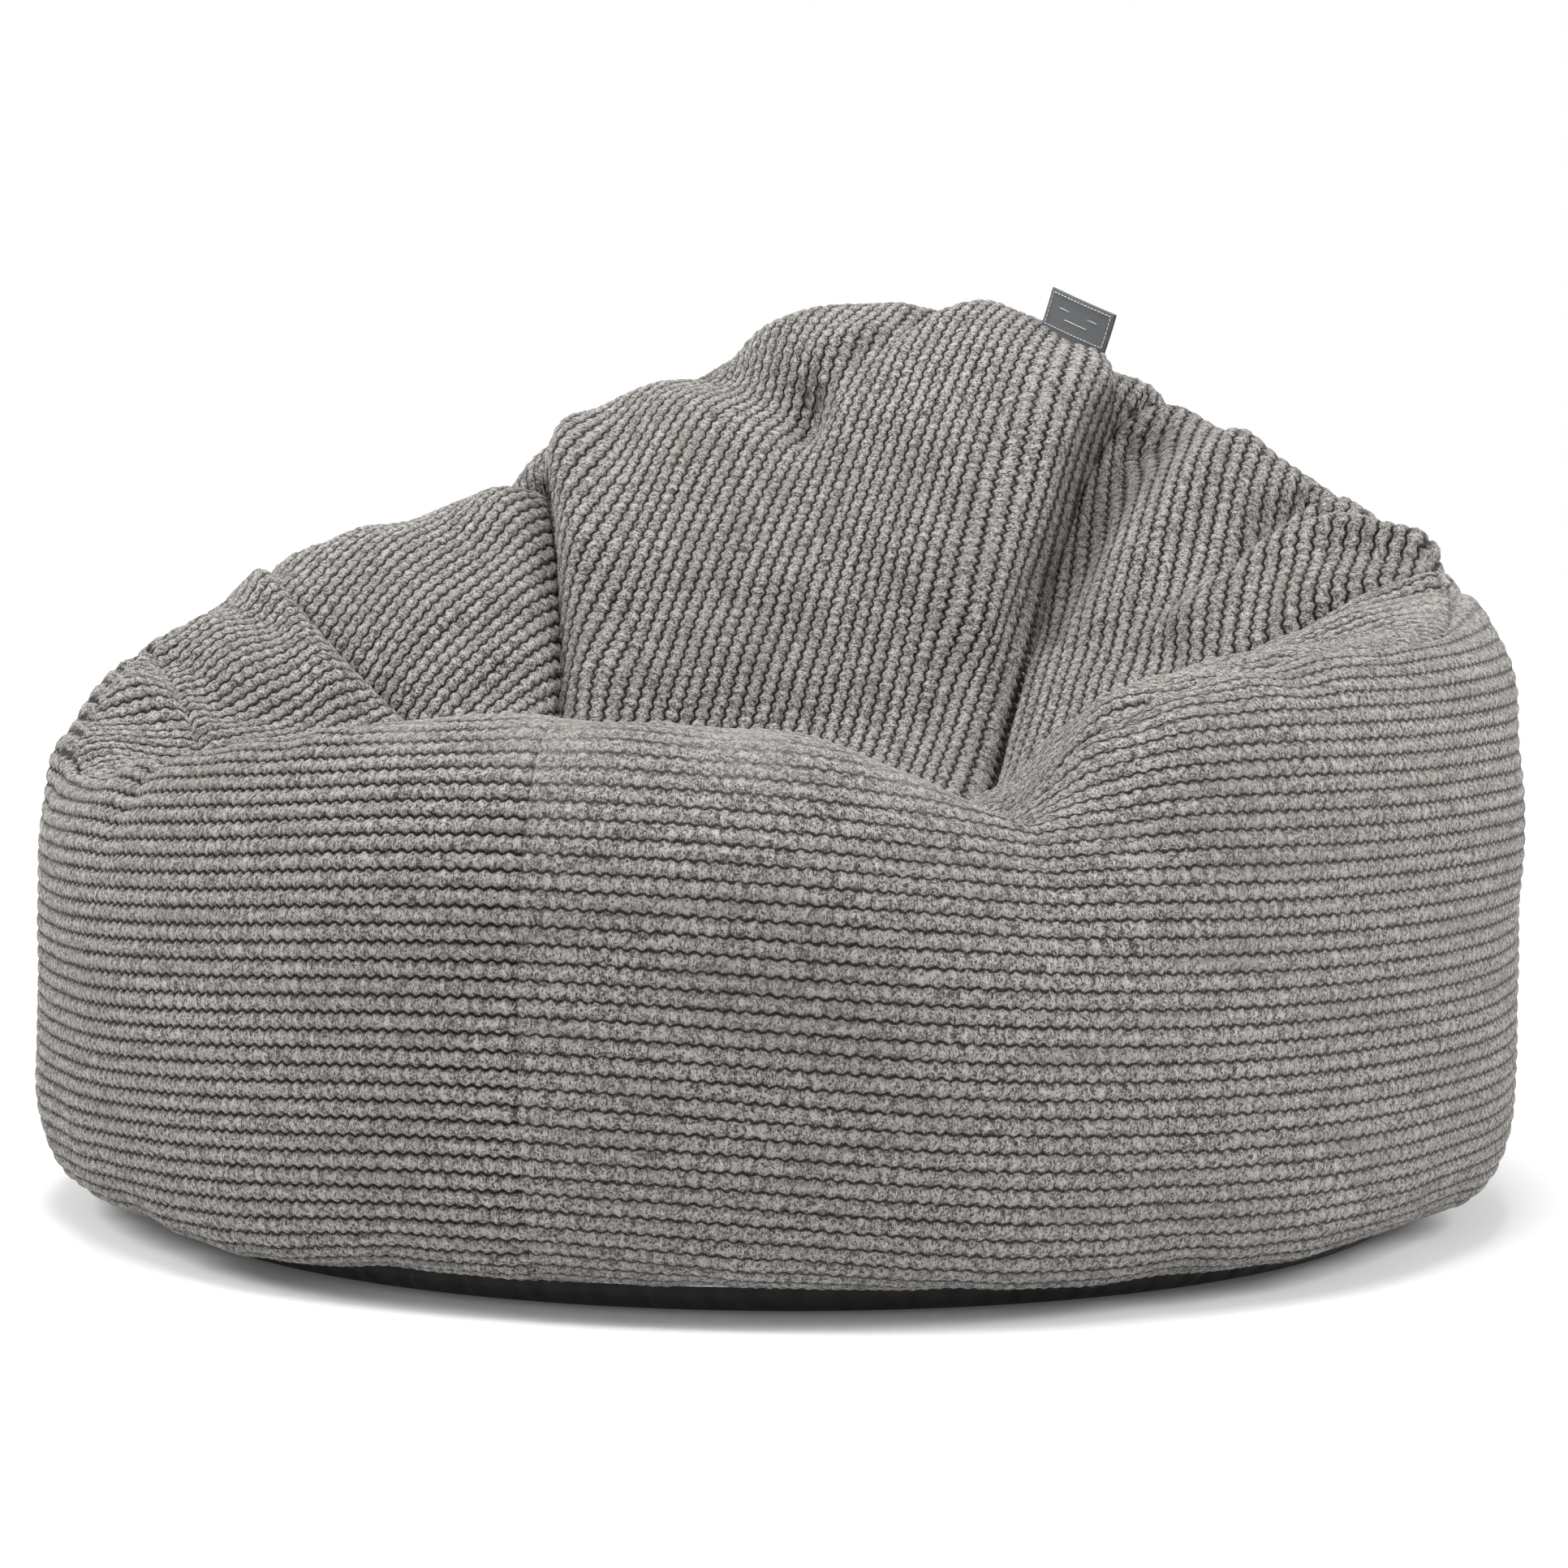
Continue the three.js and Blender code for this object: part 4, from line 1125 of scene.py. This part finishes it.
def liner_material():
    dark, light = (0.72, 0.71, 0.68), (0.84, 0.83, 0.80)
    return plain_cloth("liner", dark, light, scale=4200.0, roughness=0.85, bump=0.0004)


def zip_tape_material():
    dark, light = (0.014, 0.014, 0.015), (0.03, 0.03, 0.032)
    return plain_cloth("zip_tape", dark, light, scale=6000.0, roughness=0.8, bump=0.0003)


def care_material():
    dark, light = (0.74, 0.73, 0.70), (0.86, 0.85, 0.83)
    return plain_cloth("care_tag", dark, light, scale=9000.0, roughness=0.5, bump=0.0002)


def bead_material():
    def build(n):
        place = n.place()
        cells = n.add("TexVoronoi", {"Vector": place, "Scale": 260.0})
        ball = n.remap(cells.outputs["Distance"], 0.0, 0.6, 1.0, 0.0)
        tone = n.noise(place, 90.0)
        colour = n.mix(n.remap(tone, 0.3, 0.7), (0.80, 0.80, 0.78, 1), (0.90, 0.90, 0.88, 1))
        n.surface(Base_Color=colour, Roughness=0.6, Normal=n.bump(ball, 0.002))

    return material("beads", build)


def zip_coil_material():
    def build(n):
        place = n.place()
        turns = n.add("TexWave", {"Vector": place, "Scale": 130.0}).outputs["Fac"]
        colour = n.mix(turns, (0.010, 0.010, 0.011, 1), (0.035, 0.035, 0.037, 1))
        n.surface(Base_Color=colour, Roughness=0.4, Normal=n.bump(turns, 0.0006))

    return material("zip_coil", build)


def zip_metal_material():
    def build(n):
        place = n.place()
        wear = n.noise(place, 700.0, 4.0)
        colour = n.mix(n.remap(wear, 0.55, 0.75), (0.03, 0.03, 0.032, 1), (0.16, 0.16, 0.165, 1))
        n.surface(Base_Color=colour, Metallic=0.9, Roughness=n.remap(wear, 0.3, 0.7, 0.25, 0.5))

    return material("zip_metal", build)


def label_material():
    dark, light = (0.105, 0.112, 0.118), (0.150, 0.158, 0.165)
    return plain_cloth("label", dark, light, scale=8000.0, roughness=0.75, bump=0.0004)


def thread_material():
    def build(n):
        place = n.place()
        twist = n.noise(place, 2500.0, 2.0)
        colour = n.mix(twist, (0.42, 0.42, 0.42, 1), (0.62, 0.62, 0.61, 1))
        n.surface(Base_Color=colour, Roughness=0.7, Normal=n.bump(twist, 0.0002))

    return material("label_thread", build)


def floor_material():
    def build(n):
        place = n.place()
        tone = n.noise(place, 3.0)
        colour = n.mix(tone, (0.90, 0.90, 0.90, 1), (0.92, 0.92, 0.92, 1))
        away = n.add("VectorMath", {0: place}, operation="LENGTH").outputs["Value"]
        glow = n.remap(away, FLOOR_DARK_RADIUS, 3 * FLOOR_DARK_RADIUS, NEAR_FLOOR_GLOW, FLOOR_GLOW)
        n.surface(
            Base_Color=colour,
            Roughness=0.9,
            Specular_IOR_Level=0.0,
            Emission_Color=(1, 1, 1, 1),
            Emission_Strength=glow,
        )

    return material("floor", build)


# ---------------------------------------------------------------- camera, light and floor

CAMERA_AZIMUTH = 18.0
CAMERA_DISTANCE = 2.5
CAMERA_HEIGHT = 0.45
CAMERA_TILT = 3.89
CAMERA_PAN = 0.14
FOCAL_LENGTH = 83.85
SENSOR_WIDTH = 36.0
FAR_CLIP = 60
LIGHT_AIM = Vector((0, 0, 0.3))
AMBIENT_LIGHT = 0.42
# The floor glows, less so near the bag, so that it is as white as the world behind it.
FLOOR_GLOW = 0.68
NEAR_FLOOR_GLOW = 0.04
FLOOR_DARK_RADIUS = 0.65
FLOOR_HALF = 30.0


def add_camera():
    data = bpy.data.cameras.new("camera")
    data.sensor_width = SENSOR_WIDTH
    data.lens = FOCAL_LENGTH
    data.clip_end = FAR_CLIP
    camera = bpy.data.objects.new("camera", data)
    angle = math.radians(CAMERA_AZIMUTH)
    camera.location = (
        DRUM_AXIS[0] + CAMERA_DISTANCE * math.sin(angle),
        DRUM_AXIS[1] - CAMERA_DISTANCE * math.cos(angle),
        CAMERA_HEIGHT,
    )
    tilt = math.radians(90 - CAMERA_TILT)
    camera.rotation_euler = (tilt, 0, math.radians(CAMERA_AZIMUTH - CAMERA_PAN))
    bpy.context.scene.collection.objects.link(camera)
    bpy.context.scene.camera = camera


def add_area_light(name, azimuth, elevation, distance, size, power):
    data = bpy.data.lights.new(name, "AREA")
    data.size = size
    data.energy = power
    light = bpy.data.objects.new(name, data)
    a, e = math.radians(azimuth), math.radians(elevation)
    towards = Vector((math.sin(a) * math.cos(e), -math.cos(a) * math.cos(e), math.sin(e)))
    light.location = towards * distance + LIGHT_AIM
    light.rotation_mode = "QUATERNION"
    light.rotation_quaternion = towards.to_track_quat("Z", "Y")
    bpy.context.scene.collection.objects.link(light)


def add_world():
    """White where the camera sees it, and dimmer as a light."""
    world = bpy.data.worlds.new("world")
    world.use_nodes = True
    tree = world.node_tree
    background = tree.nodes["Background"]
    background.inputs["Color"].default_value = (1, 1, 1, 1)
    ray = tree.nodes.new("ShaderNodeLightPath")
    level = tree.nodes.new("ShaderNodeMapRange")
    level.inputs["To Min"].default_value = AMBIENT_LIGHT
    level.inputs["To Max"].default_value = 1.0
    tree.links.new(ray.outputs["Is Camera Ray"], level.inputs["Value"])
    tree.links.new(level.outputs["Result"], background.inputs["Strength"])
    bpy.context.scene.world = world


def add_floor():
    half = FLOOR_HALF
    mesh = bpy.data.meshes.new("floor")
    corners = [(-half, -half, 0), (half, -half, 0), (half, half, 0), (-half, half, 0)]
    mesh.from_pydata(corners, [], [(0, 1, 2, 3)])
    floor = new_object("floor", mesh)
    mesh.materials.append(floor_material())


def add_lights():
    bpy.context.scene.view_settings.view_transform = "Standard"
    add_area_light("overhead", azimuth=0, elevation=80, distance=2.6, size=1.6, power=86)
    add_area_light("key", azimuth=84, elevation=30, distance=3.2, size=1.4, power=62)
    add_area_light("side", azimuth=-70, elevation=34, distance=3.2, size=1.4, power=70)


# ---------------------------------------------------------------- zips

ZIP_LOOKS = {
    "coil_front": zip_coil_material,
    "coil_rear": zip_coil_material,
    "stop_left": zip_metal_material,
    "stop_right": zip_metal_material,
    "slider": zip_metal_material,
}


def colour_zip(prefix):
    """The zips' coils, stops and sliders stay as they are in the CAD, with finer materials."""
    for part, look in ZIP_LOOKS.items():
        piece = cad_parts[f"{prefix}_zip_{part}"]
        piece.data.materials.clear()
        piece.data.materials.append(look())


# ---------------------------------------------------------------- the cover

# Where the lean of the seat strip's wales starts, how gently, and the most of it at -X.
LEAN_START = 0.08
LEAN_EASE = 0.16
LEAN_MOST = 0.31
LEAN_SIDES = (-0.25, 0.30)


def strip_lean(run, place):
    """Wales of the seat strip lean towards +X as they climb, more so on the side of -X."""
    up_back = np.maximum(run - LEAN_START, 0)
    most = np.interp(place, LEAN_SIDES, [0.0, LEAN_MOST])
    return -most * up_back**2 / (up_back + LEAN_EASE)


def pull(azimuth, side):
    """Depth and half width of a top seam's valley on one side of it."""
    depth, before, after = SEAM_PULL[azimuth]
    return depth, after if side == "after" else before


def add_cover():
    wall_panel("wall_front_left", SIDE_LEFT, 360, shift=0.0)
    wall_panel("wall_front_right", 0, SIDE_RIGHT, shift=0.5)
    rear_samples = (REAR_WALE_SAMPLES, REAR_BOBBLE_SAMPLES)
    wall_panel("wall_rear", SIDE_RIGHT, SIDE_LEFT, shift=0.0, samples=rear_samples)
    add_strip()
    add_right_gores()
    add_left_gores()
    add_arm_panel()


def add_strip():
    top_panel(
        "seat_strip",
        [
            rim_edge(FRONT_LEFT - 360, FRONT_RIGHT),
            seam_edge(right_seam, 0, 0.5, *pull(FRONT_RIGHT, "before")),
            seam_edge(right_seam, 0.5, 1, *pull(BACK_RIGHT, "after")),
            rim_edge(BACK_RIGHT, BACK_LEFT),
            seam_edge(left_seam, 1, 0.5, *pull(BACK_LEFT, "before")),
            seam_edge(left_seam, 0.5, 0, *pull(FRONT_LEFT, "after")),
        ],
        up_azimuth=178,
        wales="up",
        anchor=(-0.018, -0.015),
        lean=strip_lean,
    )


def add_right_gores():
    junction = right_seam(0.5)
    top_panel(
        "side_right_gore",
        [
            rim_edge(FRONT_RIGHT, SIDE_RIGHT),
            (RIGHT_DIVIDE[::-1], *pull(SIDE_RIGHT, "before")),
            seam_edge(right_seam, 0.5, 0, *pull(FRONT_RIGHT, "after")),
        ],
        up_azimuth=118,
        wales="up",
        anchor=junction,
    )
    top_panel(
        "back_right_gore",
        [
            rim_edge(SIDE_RIGHT, BACK_RIGHT),
            seam_edge(right_seam, 1, 0.5, *pull(BACK_RIGHT, "before")),
            (RIGHT_DIVIDE, *pull(SIDE_RIGHT, "after")),
        ],
        up_azimuth=178,
        wales="up",
        anchor=junction,
    )


def add_left_gores():
    top_panel(
        "back_left_gore",
        [
            rim_edge(BACK_LEFT, SIDE_LEFT),
            (LEFT_DIVIDE, *pull(SIDE_LEFT, "before")),
            seam_edge(left_seam, 0.5, 1, *pull(BACK_LEFT, "after")),
        ],
        up_azimuth=249,
        wales="across",
        anchor=rim_plan(237),
    )
    top_panel(
        "side_left_gore",
        [
            rim_edge(SIDE_LEFT, ARM_BACK),
            seam_edge(arm_seam, 0, 1, *pull(ARM_BACK, "before")),
            seam_edge(left_seam, 0, 0.5, *pull(FRONT_LEFT, "before")),
            (LEFT_DIVIDE[::-1], *pull(SIDE_LEFT, "after")),
        ],
        up_azimuth=238,
        wales="across",
        anchor=rim_plan(257),
    )


def add_arm_panel():
    top_panel(
        "left_arm_panel",
        [
            rim_edge(ARM_BACK, FRONT_LEFT),
            seam_edge(arm_seam, 1, 0, *pull(ARM_BACK, "after")),
        ],
        up_azimuth=292,
        wales="up",
        anchor=arm_seam(0.5),
    )


# ---------------------------------------------------------------- liner and filling

LINER_DEPTH = 0.009
FILL_DEPTH = 0.013
FILL_FLOOR = 0.019
FILL_FLOOR_ROWS = 24


def skin_piece(name, points, look, node):
    keep = np.ones(points.shape[:-1], bool)
    piece = grid_mesh(name, points, keep, {})
    weld(piece, WELD_DISTANCE)
    dress(piece, look(), node)


def add_liner_and_fill():
    skin, chart, _, rim_row = inner_skin(LINER_DEPTH)
    skin = skin + swelling_at(chart)
    skin_piece("liner_wall_cloth", skin[: rim_row + 1], liner_material, "liner_wall")
    skin_piece("liner_top_cloth", skin[rim_row:], liner_material, "liner_top")
    fill, chart, _, _ = inner_skin(FILL_DEPTH)
    fill = fill + swelling_at(chart)
    hem = fill[0]
    middle = hem.mean(axis=0)
    inwards = np.linspace(0.02, 1, FILL_FLOOR_ROWS)[:, None, None]
    floor = hem * inwards + middle * (1 - inwards)
    floor[..., 2] = FILL_FLOOR
    closed = np.concatenate([floor, fill])
    skin_piece("beads", closed, bead_material, "bead_fill")


# ---------------------------------------------------------------- base, labels

BASE_RADIUS = 0.424
BASE_EDGE_RADIUS = 0.436
BASE_EDGE_HEIGHT = 0.0240
BASE_SKIN_HEIGHT = 0.0008
BASE_FULLNESS = 0.006
ZIP_SLOT_HALF_LENGTH = 0.340
ZIP_SLOT_HALF_WIDTH = 0.011
BASE_SEAM_GAP = 0.0008
# The flat part ends this share of the radius from the middle, and the slot's ends are this long.
BASE_INNER_SHARE = 0.985
SLOT_END = 0.004
BASE_ROWS = 60
BASE_COLUMNS = 360
SKIRT_ROWS = 14
SKIRT_CURVE = 1.4
SEAM_ANGLE = 0.002
# Gathers round the base: wavelength and unevenness, a second set, and their height.
GATHER_LENGTH = 0.021
GATHER_DRIFT = 2.4
GATHER_DRIFT_RATE = 17.0
FINE_GATHER_LENGTH = 0.013
FINE_GATHER_PHASE = 1.7
FINE_GATHER_SHARE = 0.6
GATHER_HEIGHT = 0.0012


def base_gathers(around):
    drift = GATHER_DRIFT * np.sin(around * GATHER_DRIFT_RATE)
    gathers = np.sin(around * 2 * math.pi / GATHER_LENGTH + drift)
    fine = np.sin(around * 2 * math.pi / FINE_GATHER_LENGTH + FINE_GATHER_PHASE)
    return gathers + FINE_GATHER_SHARE * fine


def base_half(name, side, node):
    """Half of the nylon base: gathered at the hem, flat on the floor, with a slot for the zip."""
    angle = np.linspace(SEAM_ANGLE, math.pi - SEAM_ANGLE, BASE_COLUMNS)
    x, y = np.cos(angle), side * DRUM_DEPTH_RATIO * np.sin(angle)
    edge = np.stack([x, y], axis=-1) * BASE_EDGE_RADIUS
    foot = np.stack([x, y], axis=-1) * BASE_RADIUS
    inner_x = foot[:, 0] * BASE_INNER_SHARE
    in_slot = np.clip((ZIP_SLOT_HALF_LENGTH - np.abs(inner_x)) / SLOT_END, 0, 1)
    inner_y = side * (BASE_SEAM_GAP + in_slot * (ZIP_SLOT_HALF_WIDTH - BASE_SEAM_GAP))
    inner = np.stack([inner_x, inner_y], axis=-1)
    rise = np.linspace(1, 0, SKIRT_ROWS)[:, None, None]
    skirt = edge * rise + foot * (1 - rise)
    share = np.linspace(0, 1, BASE_ROWS)[1:, None, None]
    flat = foot * (1 - share) + inner * share
    plan = np.concatenate([skirt, flat])
    lift = np.concatenate([rise[:, 0, 0] ** SKIRT_CURVE, np.zeros(BASE_ROWS - 1)])
    height = BASE_SKIN_HEIGHT + lift[:, None] * (BASE_EDGE_HEIGHT - BASE_SKIN_HEIGHT)
    swell = np.sin(lift * math.pi)
    gathers = base_gathers(angle * BASE_EDGE_RADIUS)
    fold = swell[:, None] * (BASE_FULLNESS + gathers[None, :] * GATHER_HEIGHT)
    outward = plan / np.maximum(np.linalg.norm(plan, axis=-1, keepdims=True), 1e-9)
    points = placed(plan + outward * fold[..., None], height + 0 * fold)
    piece = grid_mesh(name, points, np.ones(fold.shape, bool), {})
    weld(piece, WELD_DISTANCE)
    dress(piece, nylon_material(), node)


FLAT_STEP = 0.004
FLAT_WAVE_LENGTH = 0.12
FLAT_WAVE_SHARE = 0.5
RAY_START = 0.01


def flat_cloth(name, node, look):
    """Thin sheet in the place of a flat node, cut to the node's outline and gently uneven."""
    low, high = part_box(node)
    across = np.arange(low.x, high.x + FLAT_STEP, FLAT_STEP).clip(low.x, high.x)
    deep = np.arange(low.y, high.y + FLAT_STEP, FLAT_STEP).clip(low.y, high.y)
    x, y = np.meshgrid(across, deep)
    node_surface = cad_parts[node]
    to_node = node_surface.matrix_world.inverted()
    keep = np.zeros(x.shape, bool)
    down = to_node.to_3x3() @ Vector((0, 0, -1))
    for spot in np.ndindex(*x.shape):
        above = to_node @ Vector((x[spot], y[spot], high.z + RAY_START))
        keep[spot] = node_surface.ray_cast(above, down)[0]
    plan = np.stack([x, y], axis=-1)
    room = (high.z - low.z) / 2
    wave = value_noise(plan, FLAT_WAVE_LENGTH, seed=21)
    height = (high.z + low.z) / 2 + room * FLAT_WAVE_SHARE * wave
    points = np.concatenate([plan, height[..., None]], axis=-1)
    piece = grid_mesh(name, points, keep, {})
    thicken(piece, room)
    dress(piece, look(), node)


LABEL_WIDTH = 0.058
LABEL_HEIGHT = 0.030
LABEL_FOLD = 0.0012
LABEL_THICKNESS = 0.0005
LABEL_ROOT = 0.012
LABEL_AZIMUTH = 160.5
LABEL_CURL = 0.0022
LABEL_TIP_CURL = 0.0018
ROOT_POINTS = 9
CREST_REACH = 0.03
CREST_POINTS = 25
STITCH_LENGTH = 0.0021
STITCH_GAP = 0.0010
STITCH_WIDTH = 0.0007
STITCH_MARGIN = 0.0026
# Half length of each plain line, and its height over the label's middle.
PLAIN_LINES = [(0.017, 0.0030), (0.010, -0.0040)]
THREAD_SIDES = 6


def cover_height(spots):
    """Height of the cover's back over plan points of the row frame, looking straight down."""
    heights = np.zeros(len(spots))
    for name in ("seat_strip", "wall_rear"):
        piece = bpy.data.objects[name]
        for number, (x, y) in enumerate(spots):
            hit, place, *_ = piece.ray_cast((x, y, 2.0), (0, 0, -1))
            if hit:
                heights[number] = max(heights[number], place.z)
    return heights


def label_frame():
    """Root line, direction up and direction through the label, from the cover's crest under it."""
    half_turn = math.degrees(LABEL_WIDTH / 2 / rim_distance(np.array(LABEL_AZIMUTH)))
    azimuth = LABEL_AZIMUTH + np.linspace(half_turn, -half_turn, ROOT_POINTS)
    across_crest = np.linspace(-CREST_REACH, CREST_REACH, CREST_POINTS)
    roots = []
    for turn in azimuth:
        line = polar_plan(turn + 0 * across_crest, rim_distance(turn) + across_crest)
        heights = cover_height(line + DRUM_AXIS)
        best = int(np.argmax(heights))
        roots.append([*(line[best] + DRUM_AXIS), heights[best]])
    roots = np.array(roots)
    order = np.linspace(-1, 1, ROOT_POINTS)
    slope = np.polyfit(order, roots, 1)
    along = Vector(slope[0]).normalized()
    middle = Vector(slope[1])
    up = Vector((0, 0, 1)) - along * along.z
    up.normalize()
    through = along.cross(up)
    return middle, along, up, through


def label_point(label, s, t, bend=0.0):
    """Point of the label at s along its width and t up its face, in metres; bend moves it through."""
    middle, along, up, through = label
    curl = LABEL_CURL * math.cos(s / LABEL_WIDTH * math.pi)
    curl = curl + LABEL_TIP_CURL * (t / LABEL_HEIGHT) ** 2
    return middle + along * s + up * (t - LABEL_ROOT) + through * (bend + curl)


def add_label():
    label = label_frame()
    columns = np.linspace(-LABEL_WIDTH / 2, LABEL_WIDTH / 2, 30)
    straight_part = LABEL_HEIGHT + LABEL_ROOT - LABEL_FOLD
    profile = [(t, LABEL_FOLD) for t in np.linspace(0, straight_part, 18)]
    for angle in np.linspace(0, math.pi, 9)[1:-1]:
        profile.append((straight_part + LABEL_FOLD * math.sin(angle), LABEL_FOLD * math.cos(angle)))
    profile += [(t, -LABEL_FOLD) for t in np.linspace(straight_part, 0, 18)]
    rows = [[label_point(label, s, t, bend)[:] for s in columns] for t, bend in profile]
    points = np.array(rows)
    piece = grid_mesh("label_cloth", points, np.ones(points.shape[:2], bool), {})
    thicken(piece, LABEL_THICKNESS)
    dress(piece, label_material(), "woven_label")
    stitches = add_label_stitches(label)


def thicken(piece, thickness):
    solid = piece.modifiers.new("solid", "SOLIDIFY")
    solid.thickness = thickness
    solid.offset = 0
    graph = bpy.context.evaluated_depsgraph_get()
    mesh = bpy.data.meshes.new_from_object(piece.evaluated_get(graph))
    piece.modifiers.clear()
    piece.data = mesh


def add_label_stitches(label):
    """Dashed border on both faces of the label, and two plain lines where a name would be."""
    low = LABEL_ROOT + STITCH_MARGIN
    high = LABEL_HEIGHT + LABEL_ROOT - STITCH_MARGIN
    side = LABEL_WIDTH / 2 - STITCH_MARGIN
    corners = [(-side, low), (side, low), (side, high), (-side, high), (-side, low)]
    dashes = [dash for pair in zip(corners[:-1], corners[1:]) for dash in dashes_between(*pair)]
    middle = (low + high) / 2
    for half_length, above in PLAIN_LINES:
        dashes.append(((-half_length, middle + above), (half_length, middle + above)))
    work = bmesh.new()
    for face in (1, -1):
        depth = face * (LABEL_FOLD + (LABEL_THICKNESS + STITCH_WIDTH) / 2)
        for start, end in dashes:
            a, b = [label_point(label, s, t, depth) for s, t in (start, end)]
            add_thread(work, a, b, STITCH_WIDTH)
    mesh = bpy.data.meshes.new("label_stitches")
    work.to_mesh(mesh)
    work.free()
    piece = new_object("label_stitches", mesh)
    mesh.materials.append(thread_material())
    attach(piece, "bag")
    return piece


def dashes_between(start, end):
    start, end = Vector(start), Vector(end)
    length = (end - start).length
    count = max(int(length / (STITCH_LENGTH + STITCH_GAP)), 1)
    step = (end - start) / count
    share = STITCH_LENGTH / (STITCH_LENGTH + STITCH_GAP)
    return [((start + step * k)[:], (start + step * (k + share))[:]) for k in range(count)]


def add_thread(work, start, end, width):
    """A stretch of thread between two points, with its two ends closed."""
    direction = (end - start).normalized()
    side = direction.orthogonal().normalized()
    rings = []
    for centre in (start, end):
        ring = []
        for number in range(THREAD_SIDES):
            turn = Matrix.Rotation(number * 2 * math.pi / THREAD_SIDES, 3, direction)
            ring.append(work.verts.new(centre + turn @ side * (width / 2)))
        rings.append(ring)
    for k in range(THREAD_SIDES):
        work.faces.new((rings[0][k], rings[0][k - 1], rings[1][k - 1], rings[1][k]))
    work.faces.new(rings[0])
    work.faces.new(rings[1][::-1])


CARE_WIDTH = 0.055
CARE_LENGTH = 0.032
CARE_THICKNESS = 0.0004
CARE_LIFT = 0.0010
CARE_WAVE = 0.0009
CARE_WAVE_RATE = 9
CARE_WAVE_PHASE = 1.0


def add_care_label():
    """Satin tag at the hem behind, lying wavy on the floor."""
    low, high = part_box("care_label")
    middle = (low + high) / 2
    out = Vector((middle.x - DRUM_AXIS[0], middle.y - DRUM_AXIS[1], 0)).normalized()
    across = Vector((-out.y, out.x, 0))
    rows = []
    for t in np.linspace(-0.5, 0.5, 20):
        row = []
        for u in np.linspace(-0.5, 0.5, 30):
            wave = CARE_WAVE * math.sin(u * CARE_WAVE_RATE + CARE_WAVE_PHASE) * (0.5 + t)
            spot = middle + across * (u * CARE_WIDTH) + out * (t * CARE_LENGTH)
            row.append((spot.x, spot.y, middle.z + (wave + CARE_LIFT)))
        rows.append(row)
    points = np.array(rows)
    piece = grid_mesh("care_tag_cloth", points, np.ones(points.shape[:2], bool), {})
    thicken(piece, CARE_THICKNESS)
    dress(piece, care_material(), "care_label")


add_camera()
add_world()
add_floor()
add_lights()
swell_cover()
add_cover()
add_liner_and_fill()
base_half("base_front_cloth", -1, "base_front")
base_half("base_rear_cloth", 1, "base_rear")
for side in ("front", "rear"):
    flat_cloth(f"liner_base_{side}_cloth", f"liner_base_{side}", liner_material)
    for zip_name in ("cover", "liner"):
        node = f"{zip_name}_zip_tape_{side}"
        flat_cloth(node + "_cloth", node, zip_tape_material)
add_label()
add_care_label()
colour_zip("cover")
colour_zip("liner")
